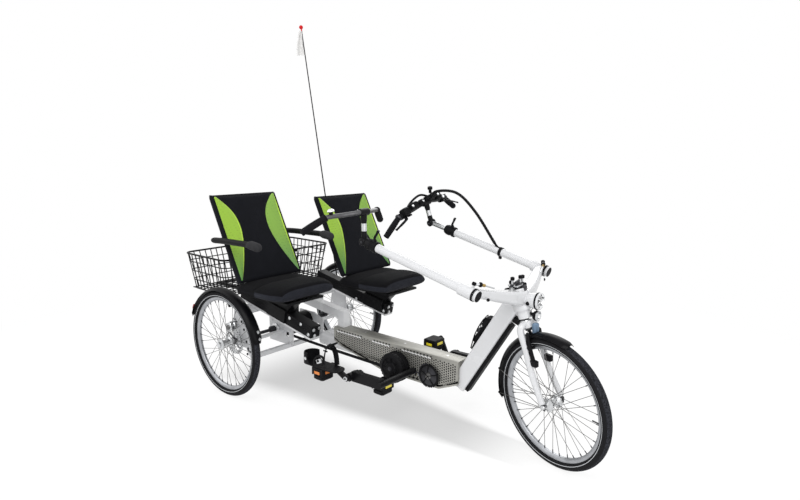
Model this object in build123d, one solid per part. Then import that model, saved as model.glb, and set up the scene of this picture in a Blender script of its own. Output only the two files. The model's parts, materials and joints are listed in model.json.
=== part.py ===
"""Side by side tandem tricycle with two reclined seats, built as named nodes.

X points forward, Y to the riders' left and Z up, in millimetres.
The rear axle is the starting point and everything is moved at the end,
so that the origin lies under the middle of the bounding box.
"""
import os
from math import atan2, cos, degrees, radians, sin

from build123d import *

# wheels and tyres
wheelbase = 1733
track = 964
tyre_radius = 300.5
tyre_width = 47
tyre_height = 38.5
rim_height = 19
rim_width = 25
bead_step = 9
spoke_count = 36
spoke_size = 2.4
hub_radius = 17
flange_radius = 30
flange_thick = 4
flange_spacing = 56
spoke_dish_angle = 26
rim_radius = tyre_radius - tyre_height
rim_inner_radius = rim_radius - rim_height
bead_radius = rim_radius - bead_step
side_half = track / 2
wheel_top_z = tyre_radius * 2

# heights that follow the wheels
crown_clearance = 51
head_height = 124
seat_drop = 5
head_low_z = wheel_top_z + crown_clearance
head_high_z = head_low_z + head_height
cushion_low_z = wheel_top_z - seat_drop

# frame tubes
beam_radius = 38
beam_z = 275
beam_back_x = 285
wall = 3
down_tube_depth = 78
down_tube_width = 58
tube_round = 8
down_tube_drop = 25
down_tube_lift = 122
down_tube_end_lift = 52
down_tube_low = (1246, 0, beam_z - down_tube_drop)
down_tube_high = (1560, 0, head_low_z + down_tube_lift)
down_tube_top_z = head_low_z + down_tube_end_lift
head_angle = 70
head_drop = 16
head_point = (1585, 0, head_low_z - head_drop)
head_tube_radius = 30
head_tube_bore = 15
fit = 0.05
gap = 6

# deck cover
deck_top_z = 380
deck_half = 42
sheet = 2
deck_back_x = 414
deck_front_x = 1262
skirt_back, skirt_step, skirt_deep, skirt_front = 80, 106, 168, 118
skirt_outline = (
    (deck_back_x, deck_top_z - skirt_back), (476, deck_top_z - skirt_step), (776, deck_top_z - skirt_deep),
    (1150, deck_top_z - skirt_deep), (deck_front_x, deck_top_z - skirt_front))
slot_rows, slot_pitch, slot_size = 2, 46, 22
deck_spacer_x = (600, 880, 1160)
deck_spacer = 24

# seat post and rear frame
post_size = 48
post_x = 450
post_bend_drop, post_back_drop = 144, 96
post_bend_z = cushion_low_z - post_bend_drop
post_back = (30, 0, cushion_low_z - post_back_drop)
cross_x = 30
cross_drop = 122
cross_z = cushion_low_z - cross_drop
cross_height = 46
cross_depth = 44
plate_y = 386
plate_thick = 8
plate_foot, plate_shoulder, plate_head = 38.5, 39.5, 39
inner_plate_step = 30
plate_low_z = tyre_radius - plate_foot
plate_mid_z = tyre_radius + plate_shoulder
plate_top_z = cross_z + plate_head
low_bar_x, low_bar_size, low_bar_drop = 118, 24, 78
low_bar_z = tyre_radius - low_bar_drop
plate_outline = ((-46, plate_low_z), (64, plate_low_z), (100, low_bar_z - low_bar_size / 2),
                 (134, low_bar_z - low_bar_size / 2), (134, plate_low_z), (86, plate_mid_z),
                 (78, plate_top_z), (-24, plate_top_z), (-60, plate_mid_z))
# plates on the ends of the gear housing, each with a square window
inner_plate_rise = 62
inner_outline = ((-62, low_bar_z), (150, low_bar_z), (150, tyre_radius + inner_plate_step),
                 (70, tyre_radius + inner_plate_rise), (-62, tyre_radius + inner_plate_rise))
window_x, window_half, window_drop = 102, 15, 16
window_z = tyre_radius - window_drop
bearing_radius = 30
bearing_half = 13
tie_tube_radius = 11
tie_tube_x = 66
housing_half = 116
housing_radius = 62
housing_stay = 40
shaft_radius = 10
brake_disc_radius = 80
brake_disc_thick = 3
brake_disc_y = 420
caliper = (46, 20, 60)
caliper_angle = 112
caliper_slot = 12

# seat rails
seat_y = 295
rail_drop, rail_fall = 78, 118
rail_back = (-62, cushion_low_z - rail_drop)
rail_front = (530, rail_back[1] - rail_fall)
rail_width = 64
rail_thick = 10
track_width = 60
track_height = 64
carriage_length = 150
carriage_wall = 9
carriage_along = 250
far_seat_shift = 175

# seats
seat_width = 428
cushion_back_x, cushion_front_x = 150, 498
cushion_thick = 92
cushion_top_z = cushion_low_z + cushion_thick
cushion_round = 30
back_overlap, back_height = 8, 430
back_foot = (206, cushion_top_z - back_overlap)
back_head = (-12, back_foot[1] + back_height)
upright_share = 0.84
back_thick = 46
pan_thick = 12
upright_size = 26
upright_y = 112
leg_size = 30
leg_spread = 60
cheek_reach = 64
armrest_length = 388
armrest_tilt_angle = 2
armrest_width = 44
armrest_thick = 24
armrest_lift = 204
armrest_z = cushion_top_z + armrest_lift
armrest_pin_radius = 9
armrest_gap = 8
armrest_pivot_x = 40

# yoke and handlebar columns
column_y = 311
column_lift, column_rise = 27, 130
column_front = (1512, head_high_z + column_lift)
column_back = (986, column_front[1] + column_rise)
column_radius = 20
sleeve_radius = 27
sleeve_length = 74
cap_radius = 19
cap_length = 16
yoke_hub_radius = 42
yoke_hub_drop, yoke_hub_height = 78, 74
steerer_rise, steerer_cap_radius = 30, 24
# each section of a yoke arm has a Y place, an X place, a height under the column, a depth and a thickness
arm_sections = ((8, 1549, 63, 84, 70), (150, 1524, 34, 62, 52), (300, 1478, -8, 46, 38))
arm_round = 14
inner_radius = 13
collar_radius = 27
collar_length = 62

# wheel steering as it stands in the photograph
steer_angle = -16.5
column_ratio = -0.75

# fork
steerer_radius = 14.95
crown_radius = 29
crown_bar_radius = 14
crown_height = 34
leg_y = 46
leg_radius = 12
leg_bend_share = 0.55
half_share = 0.5
dropout_y = 60
axle_radius = 5
front_hub_half = 46

# lamps
lamp_lift, low_lamp_lift = 86, 20
lamp_front = (1648, 0, head_low_z + lamp_lift)
lamp_radius, lamp_back_radius = 38, 27
lamp_depth = 66
low_lamp_front = (1642, 0, head_low_z + low_lamp_lift)
low_lamp_radius = 24
low_lamp_depth = 24
lamp_bracket = 14

# mudguards
guard_gap = 13
guard_sheet = 3
guard_half = 32
guard_lip = 14
rear_guard_low_angle, rear_guard_high_angle = 12, 160
front_guard_low_angle, front_guard_high_angle = 72, 196
bridge_drop, brake_drop = 68, 82
brake_height_up, brake_height_down = 30, 42

# cranks and pedals
crank_radius = 110
crank_thick = 14
crank_width = 26
shell_radius = 21
shell_half = 34
crank_gap = 7
pedal_width = 92
pedal_length = 80
pedal_over, pedal_under = 13, 50
pedal_pin_radius = 7
crank_drop = 13
right_crank = (800, -285, beam_z - crank_drop)
left_crank = (1000, 285, beam_z - crank_drop)
right_crank_angle = -24
left_crank_angle = -66
carrier_reach = 193
carrier_radius = 16
carrier_height = 52
carrier_width = 26
carrier_drop = 7
carrier_z = beam_z - carrier_drop
# each disc has an X place, a height over the beam's middle, a radius and a thickness
disc_rows = ((892, -5, 80, 34), (1094, -6, 52, 16))
shell_back, shell_ahead = 126, 134
sole_thick = 6
heel_height = 62
heel_length = 70
strap_height = 118
strap_thick = 5
strap_width = 26

# basket
basket_x = (-500, -84)
basket_half = 410
basket_drop, basket_height = 74, 224
basket_z = (cushion_low_z - basket_drop, cushion_low_z - basket_drop + basket_height)
wire = 5
wire_pitch = 60
basket_rows = 3
rack_half = 177

# small things
pole_lift, pole_height = 26, 1607
pole_foot = (46, 352, cross_z + pole_lift)
pole_head = (-256, 352, pole_foot[2] + pole_height)
pole_socket = 32
pole_radius = 4
flag_size = (2, 46, 150)
flag_drop = 24
ball_radius = 10
tail_lamp = (18, 40, 34)
tail_lamp_angle = 150
chain_tube_points = ((48, -80, beam_z - 9), (470, -80, beam_z - 17), (838, -60, beam_z - 29))
chain_tube_radius = 8
cable_cover_width, cable_cover_depth = 34, 18
lock_width, lock_depth = 46, 34
cable_cover_shares, lock_shares = (0.02, 0.73), (0.33, 0.66)

# controls
lever_radius = 6
lever_length = 84
lever_reach = 40
lever_drop = 34
display_half = 30
switch_share, switch_end_share = 0.72, 0.92

# handlebars, each point is along X, Y and Z from the clamp
bar_radius = 11
grip_radius = 16
clamp_lift = 158
bars = {
    "right": {"clamp": (899, -column_y, column_back[1] + clamp_lift), "out": 86,
              "inner": (-66, 188, -14), "end": (-118, 286, -74), "twist_angle": 5},
    "left": {"clamp": (800, column_y, column_back[1] + clamp_lift - 5), "out": 169,
             "inner": (-32, 195, -33), "end": (-48, 290, -110), "twist_angle": 0},
}
harness_z = bars["left"]["clamp"][2]
harness_points = ((832, 318, harness_z + 26), (880, 318, harness_z + 66), (1010, 322, harness_z + 64),
                  (1120, 318, harness_z - 26), (1230, 311, harness_z - 181))
harness_radius = 8


def vec(a, b):
    """Vector from a to b."""
    return Vector(*b) - Vector(*a)


def rod(a, b, radius, bore=0):
    """Round bar or tube between two points."""
    run = vec(a, b)
    base = Plane(origin=a, z_dir=run)
    body = extrude(base * Circle(radius), run.length)
    if bore:
        body -= extrude(base * Circle(bore), run.length)
    return body


def bar(a, b, depth, width):
    """Box bar between two points of a plane with equal Y, width along Y."""
    run = vec(a, b)
    base = Plane(origin=a, x_dir=(0, 1, 0), z_dir=run)
    return extrude(base * Rectangle(width, depth), run.length)


def block(low, high):
    """Box between two corners."""
    size = [h - l for l, h in zip(low, high)]
    return Pos(*[(l + h) / 2 for l, h in zip(low, high)]) * Box(*size)


def slab(outline, y, thick):
    """Outline of X and Z points as a plate centred on y."""
    face = make_face(Polyline(*[(x, y + thick / 2, z) for x, z in outline], close=True))
    return extrude(face, thick, dir=(0, -1, 0))


def disc(x, z, radius, y0, y1):
    """Round plate along Y."""
    return rod((x, y0, z), (x, y1, z), radius)


def lathe(profile, arc=360):
    """Turn a profile of radius and Y points about the Y axis."""
    face = make_face(Polyline(*[(r, y, 0) for r, y in profile], close=True))
    return revolve(face, Axis.Y, arc)


def guard(low, high):
    """Mudguard band with lips, from one angle above forward to another."""
    inner = tyre_radius + guard_gap
    outer = inner + guard_sheet
    edge = guard_half - guard_sheet
    lip = inner - guard_lip + guard_sheet
    profile = ((outer, -guard_half), (outer, guard_half), (lip, guard_half), (lip, edge),
               (inner, edge), (inner, -edge), (lip, -edge), (lip, -guard_half))
    return Rot(0, -high, 0) * lathe(profile, high - low)


def tyre():
    """Tyre about the Y axis, cut where the rim sits."""
    core = tyre_radius - tyre_width / 2
    half = tyre_width / 2
    steps = 10
    round_part = [(core + half * cos(radians(a)), half * sin(radians(a)))
                  for a in range(-120, 121, 240 // steps)]
    return lathe(round_part + [(rim_radius, rim_width / 2), (rim_radius, -rim_width / 2)])


def wheel(hub_half, hub_bore):
    """Rim, spokes and hub about the Y axis."""
    half = rim_width / 2
    rim = lathe(((rim_radius, -half), (rim_radius, half), (bead_radius, half),
                 (rim_inner_radius, half / 2), (rim_inner_radius, -half / 2), (bead_radius, -half)))
    hub = rod((0, -hub_half, 0), (0, hub_half, 0), hub_radius)
    for side in (-1, 1):
        y = side * flange_spacing / 2
        hub += rod((0, y - flange_thick / 2, 0), (0, y + flange_thick / 2, 0), flange_radius)
    spokes = []
    for n in range(spoke_count):
        angle = radians(360 / spoke_count * n)
        lead = radians(spoke_dish_angle) * (1 if n % 4 < 2 else -1)
        side = 1 if n % 2 else -1
        foot_r = flange_radius - flange_thick
        foot = (foot_r * cos(angle + lead), side * flange_spacing / 2, foot_r * sin(angle + lead))
        top_r = rim_inner_radius + flange_thick
        top = (top_r * cos(angle), 0, top_r * sin(angle))
        run = vec(foot, top)
        base = Plane(origin=foot, x_dir=run.cross(Vector(*foot)), z_dir=run)
        spokes.append(extrude(base * Rectangle(spoke_size, spoke_size), run.length))
    whole = rim + hub + spokes
    if hub_bore:
        whole -= rod((0, -hub_half, 0), (0, hub_half, 0), hub_bore)
    return whole


def along(a, b, share):
    """Point at a share of the way from a to b."""
    return tuple(p + (q - p) * share for p, q in zip(a, b))


nodes = {}

# main tubes
down_tube = bar(down_tube_low, down_tube_high, down_tube_depth, down_tube_width)
down_tube = fillet(down_tube.edges().filter_by(lambda edge: edge.length > down_tube_depth * 2), tube_round)
down_tube -= block((down_tube_low[0], -down_tube_depth, down_tube_top_z),
                   (down_tube_high[0] + down_tube_depth, down_tube_depth, down_tube_top_z + head_height))
nodes["down_tube"] = down_tube
beam = rod((beam_back_x, 0, beam_z), (down_tube_low[0], 0, beam_z), beam_radius)
beam -= rod((beam_back_x, 0, beam_z), (post_x - post_size, 0, beam_z), beam_radius - wall)
for x in deck_spacer_x:
    beam += block((x, -deck_spacer, beam_z), (x + deck_spacer, deck_spacer, deck_top_z - sheet))
beam -= nodes["down_tube"]
post_foot = (post_x, 0, beam_z)
post = bar(post_foot, (post_x, 0, post_bend_z + post_size / 2), post_size, post_size)
post += bar((post_x - post_size / 2, 0, post_bend_z), post_back, post_size, post_size)
cross_half = plate_y - plate_thick / 2
cross = block((cross_x - cross_depth / 2, -cross_half, cross_z - cross_height / 2),
              (cross_x + cross_depth / 2, cross_half, cross_z + cross_height / 2))
nodes["main_beam"] = beam
nodes["seat_post"] = post - cross
nodes["cross_beam"] = cross

# head tube and steering axis
up = Vector(-cos(radians(head_angle)), 0, sin(radians(head_angle)))


def on_head(z):
    """Point of the steering axis at a height."""
    return (head_point[0] - (z - head_point[2]) / sin(radians(head_angle)) * cos(radians(head_angle)), 0, z)


head_low, head_high = on_head(head_low_z), on_head(head_high_z)
head_solid = rod(head_low, head_high, head_tube_radius)
bore = rod(on_head(head_low_z - head_tube_radius), on_head(head_high_z + head_tube_radius * 2),
           head_tube_bore)
nodes["down_tube"] -= head_solid
nodes["down_tube"] -= nodes["main_beam"]
nodes["head_tube"] = head_solid - bore

# yoke with a sleeve for each column
column_run = vec((column_back[0], 0, column_back[1]), (column_front[0], 0, column_front[1]))
column_dir = column_run.normalized()


def on_column(y, back):
    """Point of a column's axis, measured back from its front end."""
    return (column_front[0] - column_dir.X * back, y, column_front[1] - column_dir.Z * back)


yoke = rod(on_head(column_front[1] - yoke_hub_drop - yoke_hub_height / 2),
           on_head(column_front[1] - yoke_hub_drop + yoke_hub_height / 2), yoke_hub_radius)
for side in (-1, 1):
    y = side * column_y
    sections = [Plane(origin=(x, side * reach, column_front[1] - drop), x_dir=(1, 0, 0), z_dir=(0, 1, 0))
                * RectangleRounded(depth, thick, arm_round) for reach, x, drop, depth, thick in arm_sections]
    yoke += loft(sections)
    yoke += rod(on_column(y, sleeve_length), on_column(y, 0), sleeve_radius)
yoke -= bore
yoke -= head_solid
yoke -= nodes["down_tube"]
for side in (-1, 1):
    y = side * column_y
    yoke -= rod(on_column(y, sleeve_length * 2), on_column(y, -sleeve_length), column_radius + fit)
nodes["steering_yoke"] = yoke

# columns, stems and handlebars
for name, side in (("right", -1), ("left", 1)):
    y = side * column_y
    row = bars[name]
    front = on_column(y, 0)
    length = column_run.length
    tube = rod(on_column(y, length), front, column_radius, inner_radius + fit)
    cap = rod(on_column(y, -cap_length), on_column(y, -wall), sleeve_radius - wall)
    tube += rod(on_column(y, -wall), front, cap_radius) + cap
    nodes["column_tube_" + name] = tube
    knuckle, clamp = on_column(y, length + row["out"]), row["clamp"]
    stem = rod(knuckle, on_column(y, length - collar_length * 2), inner_radius)
    stem += rod(on_column(y, length + wall + collar_length), on_column(y, length + wall), collar_radius)
    stem += rod(knuckle, clamp, inner_radius)
    stem += Pos(*knuckle) * Sphere(inner_radius + wall)
    bar_turn = Pos(*clamp) * Rot(0, 0, row["twist_angle"])
    stem += Pos(*clamp) * Rot(90, 0, 0) * Cylinder(bar_radius + gap, collar_length / 2)
    points = []
    for across in (-1, 1):
        inner = (row["inner"][0], across * row["inner"][1], row["inner"][2])
        end = (row["end"][0], across * row["end"][1], row["end"][2])
        points.append([inner, end])
    path = [points[0][1], points[0][0], (0, 0, 0), points[1][0], points[1][1]]
    tube_bar = None
    for a, b in zip(path, path[1:]):
        piece = rod(a, b, bar_radius)
        tube_bar = piece if tube_bar is None else tube_bar + piece
    for point in path[1:-1]:
        tube_bar += Pos(*point) * Sphere(bar_radius)
    for inner, end in points:
        tube_bar += rod(along(inner, end, 0), end, grip_radius)
    tube_bar = bar_turn * tube_bar
    nodes["stem_" + name] = stem - tube_bar
    nodes["handlebar_" + name] = tube_bar

# controls on the driver's handlebar
row = bars["left"]
controls = None
for across in (-1, 1):
    reach = (row["inner"][0], across * row["inner"][1], row["inner"][2])
    inner = tuple(p + q for p, q in zip(row["clamp"], reach))
    near = along(row["clamp"], inner, switch_share)
    far = along(row["clamp"], inner, switch_end_share)
    piece = rod(near, far, grip_radius + wall)
    mount = along(near, far, half_share)
    lever_tip = (mount[0] + lever_reach, mount[1] + across * lever_length, mount[2] - lever_drop)
    piece += rod(mount, lever_tip, lever_radius)
    controls = piece if controls is None else controls + piece
centre = row["clamp"]
cx, cy, cz = centre
display = block((cx + bar_radius, cy - display_half, cz + bar_radius),
                (cx + collar_length / 2 + bar_radius, cy + display_half, cz + collar_radius))
display += block((cx + lever_radius, cy - collar_radius - lever_radius, cz),
                 (cx + collar_radius, cy - collar_radius + lever_radius, cz + collar_radius))
controls = controls + display
nodes["controls_left"] = controls - nodes["handlebar_left"] - nodes["stem_left"]
harness = None
for a, b in zip(harness_points, harness_points[1:]):
    piece = rod(a, b, harness_radius)
    harness = piece if harness is None else harness + piece
for point in harness_points[1:-1]:
    harness += Pos(*point) * Sphere(harness_radius)
for name in ("controls_left", "handlebar_left", "stem_left", "column_tube_left"):
    harness -= nodes[name]
nodes["harness"] = harness

# deck cover over the beam
cover = block((deck_back_x, -deck_half, deck_top_z - sheet), (deck_front_x, deck_half, deck_top_z))
for side in (-1, 1):
    sheet_face = slab([(deck_back_x, deck_top_z)] + list(skirt_outline) + [(deck_front_x, deck_top_z)],
                      side * (deck_half - sheet / 2), sheet)
    cuts = []
    count = int((deck_front_x - deck_back_x) / slot_pitch) - 1
    for n in range(count):
        for row_n in range(slot_rows):
            x = deck_back_x + slot_pitch * (n + 1 + row_n / 2)
            z = deck_top_z - slot_pitch * (1 + row_n)
            cuts.append(Pos(x, side * deck_half, z) * Rot(0, 45, 0) * Box(slot_size, deck_half, slot_size))
    sheet_face -= cuts
    cover += sheet_face
cover -= nodes["seat_post"]
cover -= nodes["down_tube"]
nodes["deck_cover"] = cover

# rear frame
carrier = None
for side in (-1, 1):
    y = side * plate_y
    plate = slab(plate_outline, y, plate_thick)
    plate += disc(0, tyre_radius, bearing_radius, y - bearing_half, y + bearing_half)
    plate -= disc(0, tyre_radius, shaft_radius + fit, y - bearing_half * 2, y + bearing_half * 2)
    carrier = plate if carrier is None else carrier + plate
tie = rod((tie_tube_x, -plate_y, tyre_radius), (tie_tube_x, plate_y, tyre_radius), tie_tube_radius)
tie += block((low_bar_x - low_bar_size / 2, -plate_y, low_bar_z - low_bar_size / 2),
             (low_bar_x + low_bar_size / 2, plate_y, low_bar_z + low_bar_size / 2))
for side in (-1, 1):
    y = side * (housing_half + plate_thick / 2)
    plate = slab(inner_outline, y, plate_thick)
    plate -= disc(0, tyre_radius, shaft_radius + wall, y - plate_thick, y + plate_thick)
    plate -= block((window_x - window_half, y - plate_thick, window_z - window_half),
                   (window_x + window_half, y + plate_thick, window_z + window_half))
    carrier += plate
nodes["axle_carrier"] = carrier + tie
housing = disc(0, tyre_radius, housing_radius, -housing_half, housing_half)
housing += block((-housing_stay / 2, -housing_stay, tyre_radius), (housing_stay / 2, housing_stay, cross_z))
housing -= nodes["cross_beam"]
for side in (-1, 1):
    housing -= disc(0, tyre_radius, shaft_radius + fit, side * housing_half / 2, side * housing_half * 2)
housing -= nodes["axle_carrier"]
nodes["gear_housing"] = housing

# seat rails and the black track on each
rails = tracks = None
rail_run = vec((rail_back[0], 0, rail_back[1]), (rail_front[0], 0, rail_front[1]))
rail_dir = rail_run.normalized()
rail_up = Vector(-rail_dir.Z, 0, rail_dir.X)


def on_rail(reach, lift, y):
    """Point along a rail and above its middle line."""
    return (rail_back[0] + rail_dir.X * reach + rail_up.X * lift, y,
            rail_back[1] + rail_dir.Z * reach + rail_up.Z * lift)


for side in (-1, 1):
    y = side * seat_y
    rail = bar(on_rail(0, 0, y), on_rail(rail_run.length, 0, y), rail_thick, rail_width)
    lift = rail_thick / 2 + track_height / 2
    track_bar = bar(on_rail(0, lift, y), on_rail(rail_run.length, lift, y), track_height, track_width)
    rails = rail if rails is None else rails + rail
    tracks = track_bar if tracks is None else tracks + track_bar
nodes["seat_post"] -= nodes["main_beam"]
nodes["cross_beam"] -= rails
nodes["seat_rails"] = rails
nodes["rail_tracks"] = tracks

# seats, each in its place along its rail
for name, side, shift in (("right", -1, 0), ("left", 1, far_seat_shift)):
    y = side * seat_y
    lift = rail_thick / 2 + track_height
    carriage = bar(on_rail(carriage_along, lift / 2 + carriage_wall, y),
                   on_rail(carriage_along + carriage_length, lift / 2 + carriage_wall, y),
                   track_height + carriage_wall, track_width + carriage_wall * 2)
    hollow = bar(on_rail(carriage_along, 0, y), on_rail(carriage_along + carriage_length, 0, y),
                 (lift + fit) * 2, track_width + fit * 2)
    carriage -= hollow
    carriage -= bar(on_rail(0, 0, y), on_rail(rail_run.length, 0, y), rail_thick + gap, rail_width + gap)
    low_back = on_rail(carriage_along, lift + carriage_wall / 2, y)
    low_front = on_rail(carriage_along + carriage_length, lift + carriage_wall / 2, y)
    cheek = ((low_back[0], low_back[2]), (low_front[0], low_front[2]),
             (cushion_front_x - cheek_reach, cushion_low_z), (cushion_back_x + cheek_reach, cushion_low_z))
    carriage += slab(cheek, y, leg_size * 2)
    pan = block((cushion_back_x, y - upright_y - upright_size / 2, cushion_low_z - pan_thick),
                (cushion_front_x - leg_size, y + upright_y + upright_size / 2, cushion_low_z))
    carriage += pan
    lean = vec((back_foot[0], 0, back_foot[1]), (back_head[0], 0, back_head[1])).normalized()
    rear = Vector(lean.Z, 0, -lean.X) * -1
    offset = back_thick + upright_size / 2
    for n in (-1, 1):
        at_y = y + n * upright_y
        foot = (back_foot[0] + rear.X * offset, at_y, back_foot[1] + rear.Z * offset)
        low = tuple(f - l * leg_spread for f, l in zip(foot, (lean.X, 0, lean.Z)))
        crest = (back_head[0] + rear.X * offset, at_y, back_head[1] + rear.Z * offset)
        head = along(foot, crest, upright_share)
        carriage += bar(low, head, upright_size, upright_size)
    carriage += block((low[0] - upright_size / 2, y - upright_y, cushion_low_z - pan_thick),
                      (cushion_back_x + leg_size, y + upright_y, cushion_low_z))
    back = bar((back_foot[0], y, back_foot[1]), (back_head[0], y, back_head[1]), back_thick, seat_width)
    back = Pos(rear.X * back_thick / 2, 0, rear.Z * back_thick / 2) * back
    cushion = block((cushion_back_x, y - seat_width / 2, cushion_low_z),
                    (cushion_front_x, y + seat_width / 2, cushion_top_z))
    cushion = fillet(cushion.edges().filter_by(Axis.Y).group_by(Axis.X)[-1], cushion_round)
    cushion -= back
    carriage -= cushion
    carriage -= back
    move = Pos(rail_dir.X * shift, 0, rail_dir.Z * shift)
    if name == "right":
        for n, arm_name in ((-1, "right"), (1, "left")):
            edge = y + n * (seat_width / 2 + armrest_gap)
            mid = edge + n * armrest_width / 2
            half_w, half_t = armrest_width / 2, armrest_thick / 2
            pad = block((armrest_pivot_x - half_w, mid - half_w, armrest_z - half_t),
                        (armrest_pivot_x + armrest_length, mid + half_w, armrest_z + half_t))
            pad = fillet(pad.edges().filter_by(Axis.Z), armrest_width / 2 - wall)
            pad = pad.rotate(Axis((armrest_pivot_x, mid, armrest_z), (0, 1, 0)), -armrest_tilt_angle)
            lug = y + n * (upright_y + upright_size / 2)
            pin = disc(armrest_pivot_x, armrest_z, armrest_pin_radius, lug, mid)
            pad -= disc(armrest_pivot_x, armrest_z, armrest_pin_radius + fit, lug, mid)
            nodes["armrest_" + arm_name] = pad
            carriage += pin
        carriage -= back
    nodes["seat_base_" + name] = move * carriage
    nodes["seat_back_" + name] = move * back
    nodes["seat_cushion_" + name] = move * cushion

# mudguards, tail lamps and rear brakes
calipers = None
lamps = None
for name, side in (("right", -1), ("left", 1)):
    y = side * side_half
    arch = Pos(0, y, tyre_radius) * guard(rear_guard_low_angle, rear_guard_high_angle)
    inner = tyre_radius + guard_gap
    y0 = side * (side_half - guard_half)
    stay_z = tyre_radius + inner
    arm = block((-leg_size / 2, min(side * plate_y, y0), plate_top_z - plate_thick * 2),
                (leg_size / 2, max(side * plate_y, y0), plate_top_z - plate_thick))
    post_arm = block((-leg_size / 2, min(y0, y0 - side * plate_thick), plate_top_z - plate_thick * 2),
                     (leg_size / 2, max(y0, y0 - side * plate_thick), stay_z))
    arch += (arm + post_arm) - disc(0, tyre_radius, inner, y - guard_half, y + guard_half)
    arch -= nodes["axle_carrier"]
    nodes["mudguard_" + name] = arch
    turn = radians(tail_lamp_angle)
    outer = inner + guard_sheet + tail_lamp[0] / 2
    lamp = Rot(0, -tail_lamp_angle, 0) * Box(*tail_lamp)
    lamp = Pos(outer * cos(turn), y, tyre_radius + outer * sin(turn)) * lamp
    lamp -= arch
    lamps = lamp if lamps is None else lamps + lamp
    turn = radians(caliper_angle)
    mid_y = side * brake_disc_y
    piece = Pos(brake_disc_radius * cos(turn), mid_y, tyre_radius + brake_disc_radius * sin(turn)) \
        * Rot(0, -caliper_angle, 0) * Box(*caliper)
    slot_low = mid_y - caliper_slot / 2
    piece -= disc(0, tyre_radius, brake_disc_radius + gap, slot_low, slot_low + caliper_slot)
    root_y = side * (plate_y + plate_thick / 2)
    bridge = block((brake_disc_radius * cos(turn) - leg_size / 2, min(root_y, mid_y), 0),
                   (brake_disc_radius * cos(turn) + leg_size / 2, max(root_y, mid_y), leg_size / 2))
    bridge = Pos(0, 0, tyre_radius + brake_disc_radius + gap * 2) * bridge
    piece += bridge
    piece -= disc(0, tyre_radius, brake_disc_radius + gap, slot_low, slot_low + caliper_slot)
    calipers = piece if calipers is None else calipers + piece
nodes["tail_lamps"] = lamps
nodes["rear_calipers"] = calipers - nodes["axle_carrier"]

# basket and its carrier
x0, x1 = basket_x
z0, z1 = basket_z
panels = None
long_count = int(basket_half * 2 / wire_pitch)
short_count = int((x1 - x0) / wire_pitch)


def lattice(length, height, columns, rows):
    """Flat wire panel centred on the origin in the XY plane."""
    face = Rectangle(length, height)
    cell_x = (length - wire * (columns + 1)) / columns
    cell_y = (height - wire * (rows + 1)) / rows
    face -= [loc * Rectangle(cell_x, cell_y)
             for loc in GridLocations(cell_x + wire, cell_y + wire, columns, rows)]
    return extrude(face, wire)


panel_long = lattice(basket_half * 2, z1 - z0, long_count, basket_rows)
panel_short = lattice(x1 - x0, z1 - z0, short_count, basket_rows)
floor = lattice(x1 - x0, basket_half * 2, short_count, long_count // 2)
mid_z = (z0 + z1) / 2
mid_x = (x0 + x1) / 2
basket = Pos(mid_x, 0, z0) * floor
for x in (x0, x1 - wire):
    basket += Plane(origin=(x, 0, mid_z), x_dir=(0, 1, 0), z_dir=(1, 0, 0)) * panel_long
for y in (-basket_half + wire, basket_half):
    basket += Pos(mid_x, y, mid_z) * Rot(90, 0, 0) * panel_short
nodes["basket"] = basket
rack = None
for side in (-1, 1):
    y = side * rack_half
    arm = rod((x0, y, z0 - wire - gap), (cross_x - cross_depth / 2, y, z0 - wire - gap), bar_radius)
    rack = arm if rack is None else rack + arm
rack += block((x0, -rack_half, z0 - wire * 2 - gap), (x0 + leg_size, rack_half, z0))
rack += block((x1 - leg_size, -rack_half, z0 - wire * 2 - gap), (x1, rack_half, z0))
for side in (-1, 1):
    y = side * rack_half
    rack += block((cross_x - cross_depth / 2, y - bar_radius, cross_z + cross_height / 2),
                  (cross_x + cross_depth / 2, y + bar_radius, z0 - wire))
nodes["basket_carrier"] = rack - nodes["cross_beam"] - nodes["basket"]

# flag pole
pole = rod(pole_foot, pole_head, pole_radius) + Pos(*pole_head) * Sphere(ball_radius)
pole_dir = vec(pole_foot, pole_head).normalized()
socket_top = tuple(p + d * pole_socket for p, d in zip(pole_foot, tuple(pole_dir)))
pole += rod((pole_foot[0], pole_foot[1], cross_z), socket_top, ball_radius)
nodes["flag_pole"] = pole - nodes["cross_beam"] - nodes["axle_carrier"]
top = tuple(p - d * flag_drop for p, d in zip(pole_head, tuple(pole_dir)))
flag = Pos(top[0], top[1] - pole_radius - flag_size[1] / 2, top[2] - flag_size[2] / 2) * Box(*flag_size)
nodes["flag"] = flag

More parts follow.
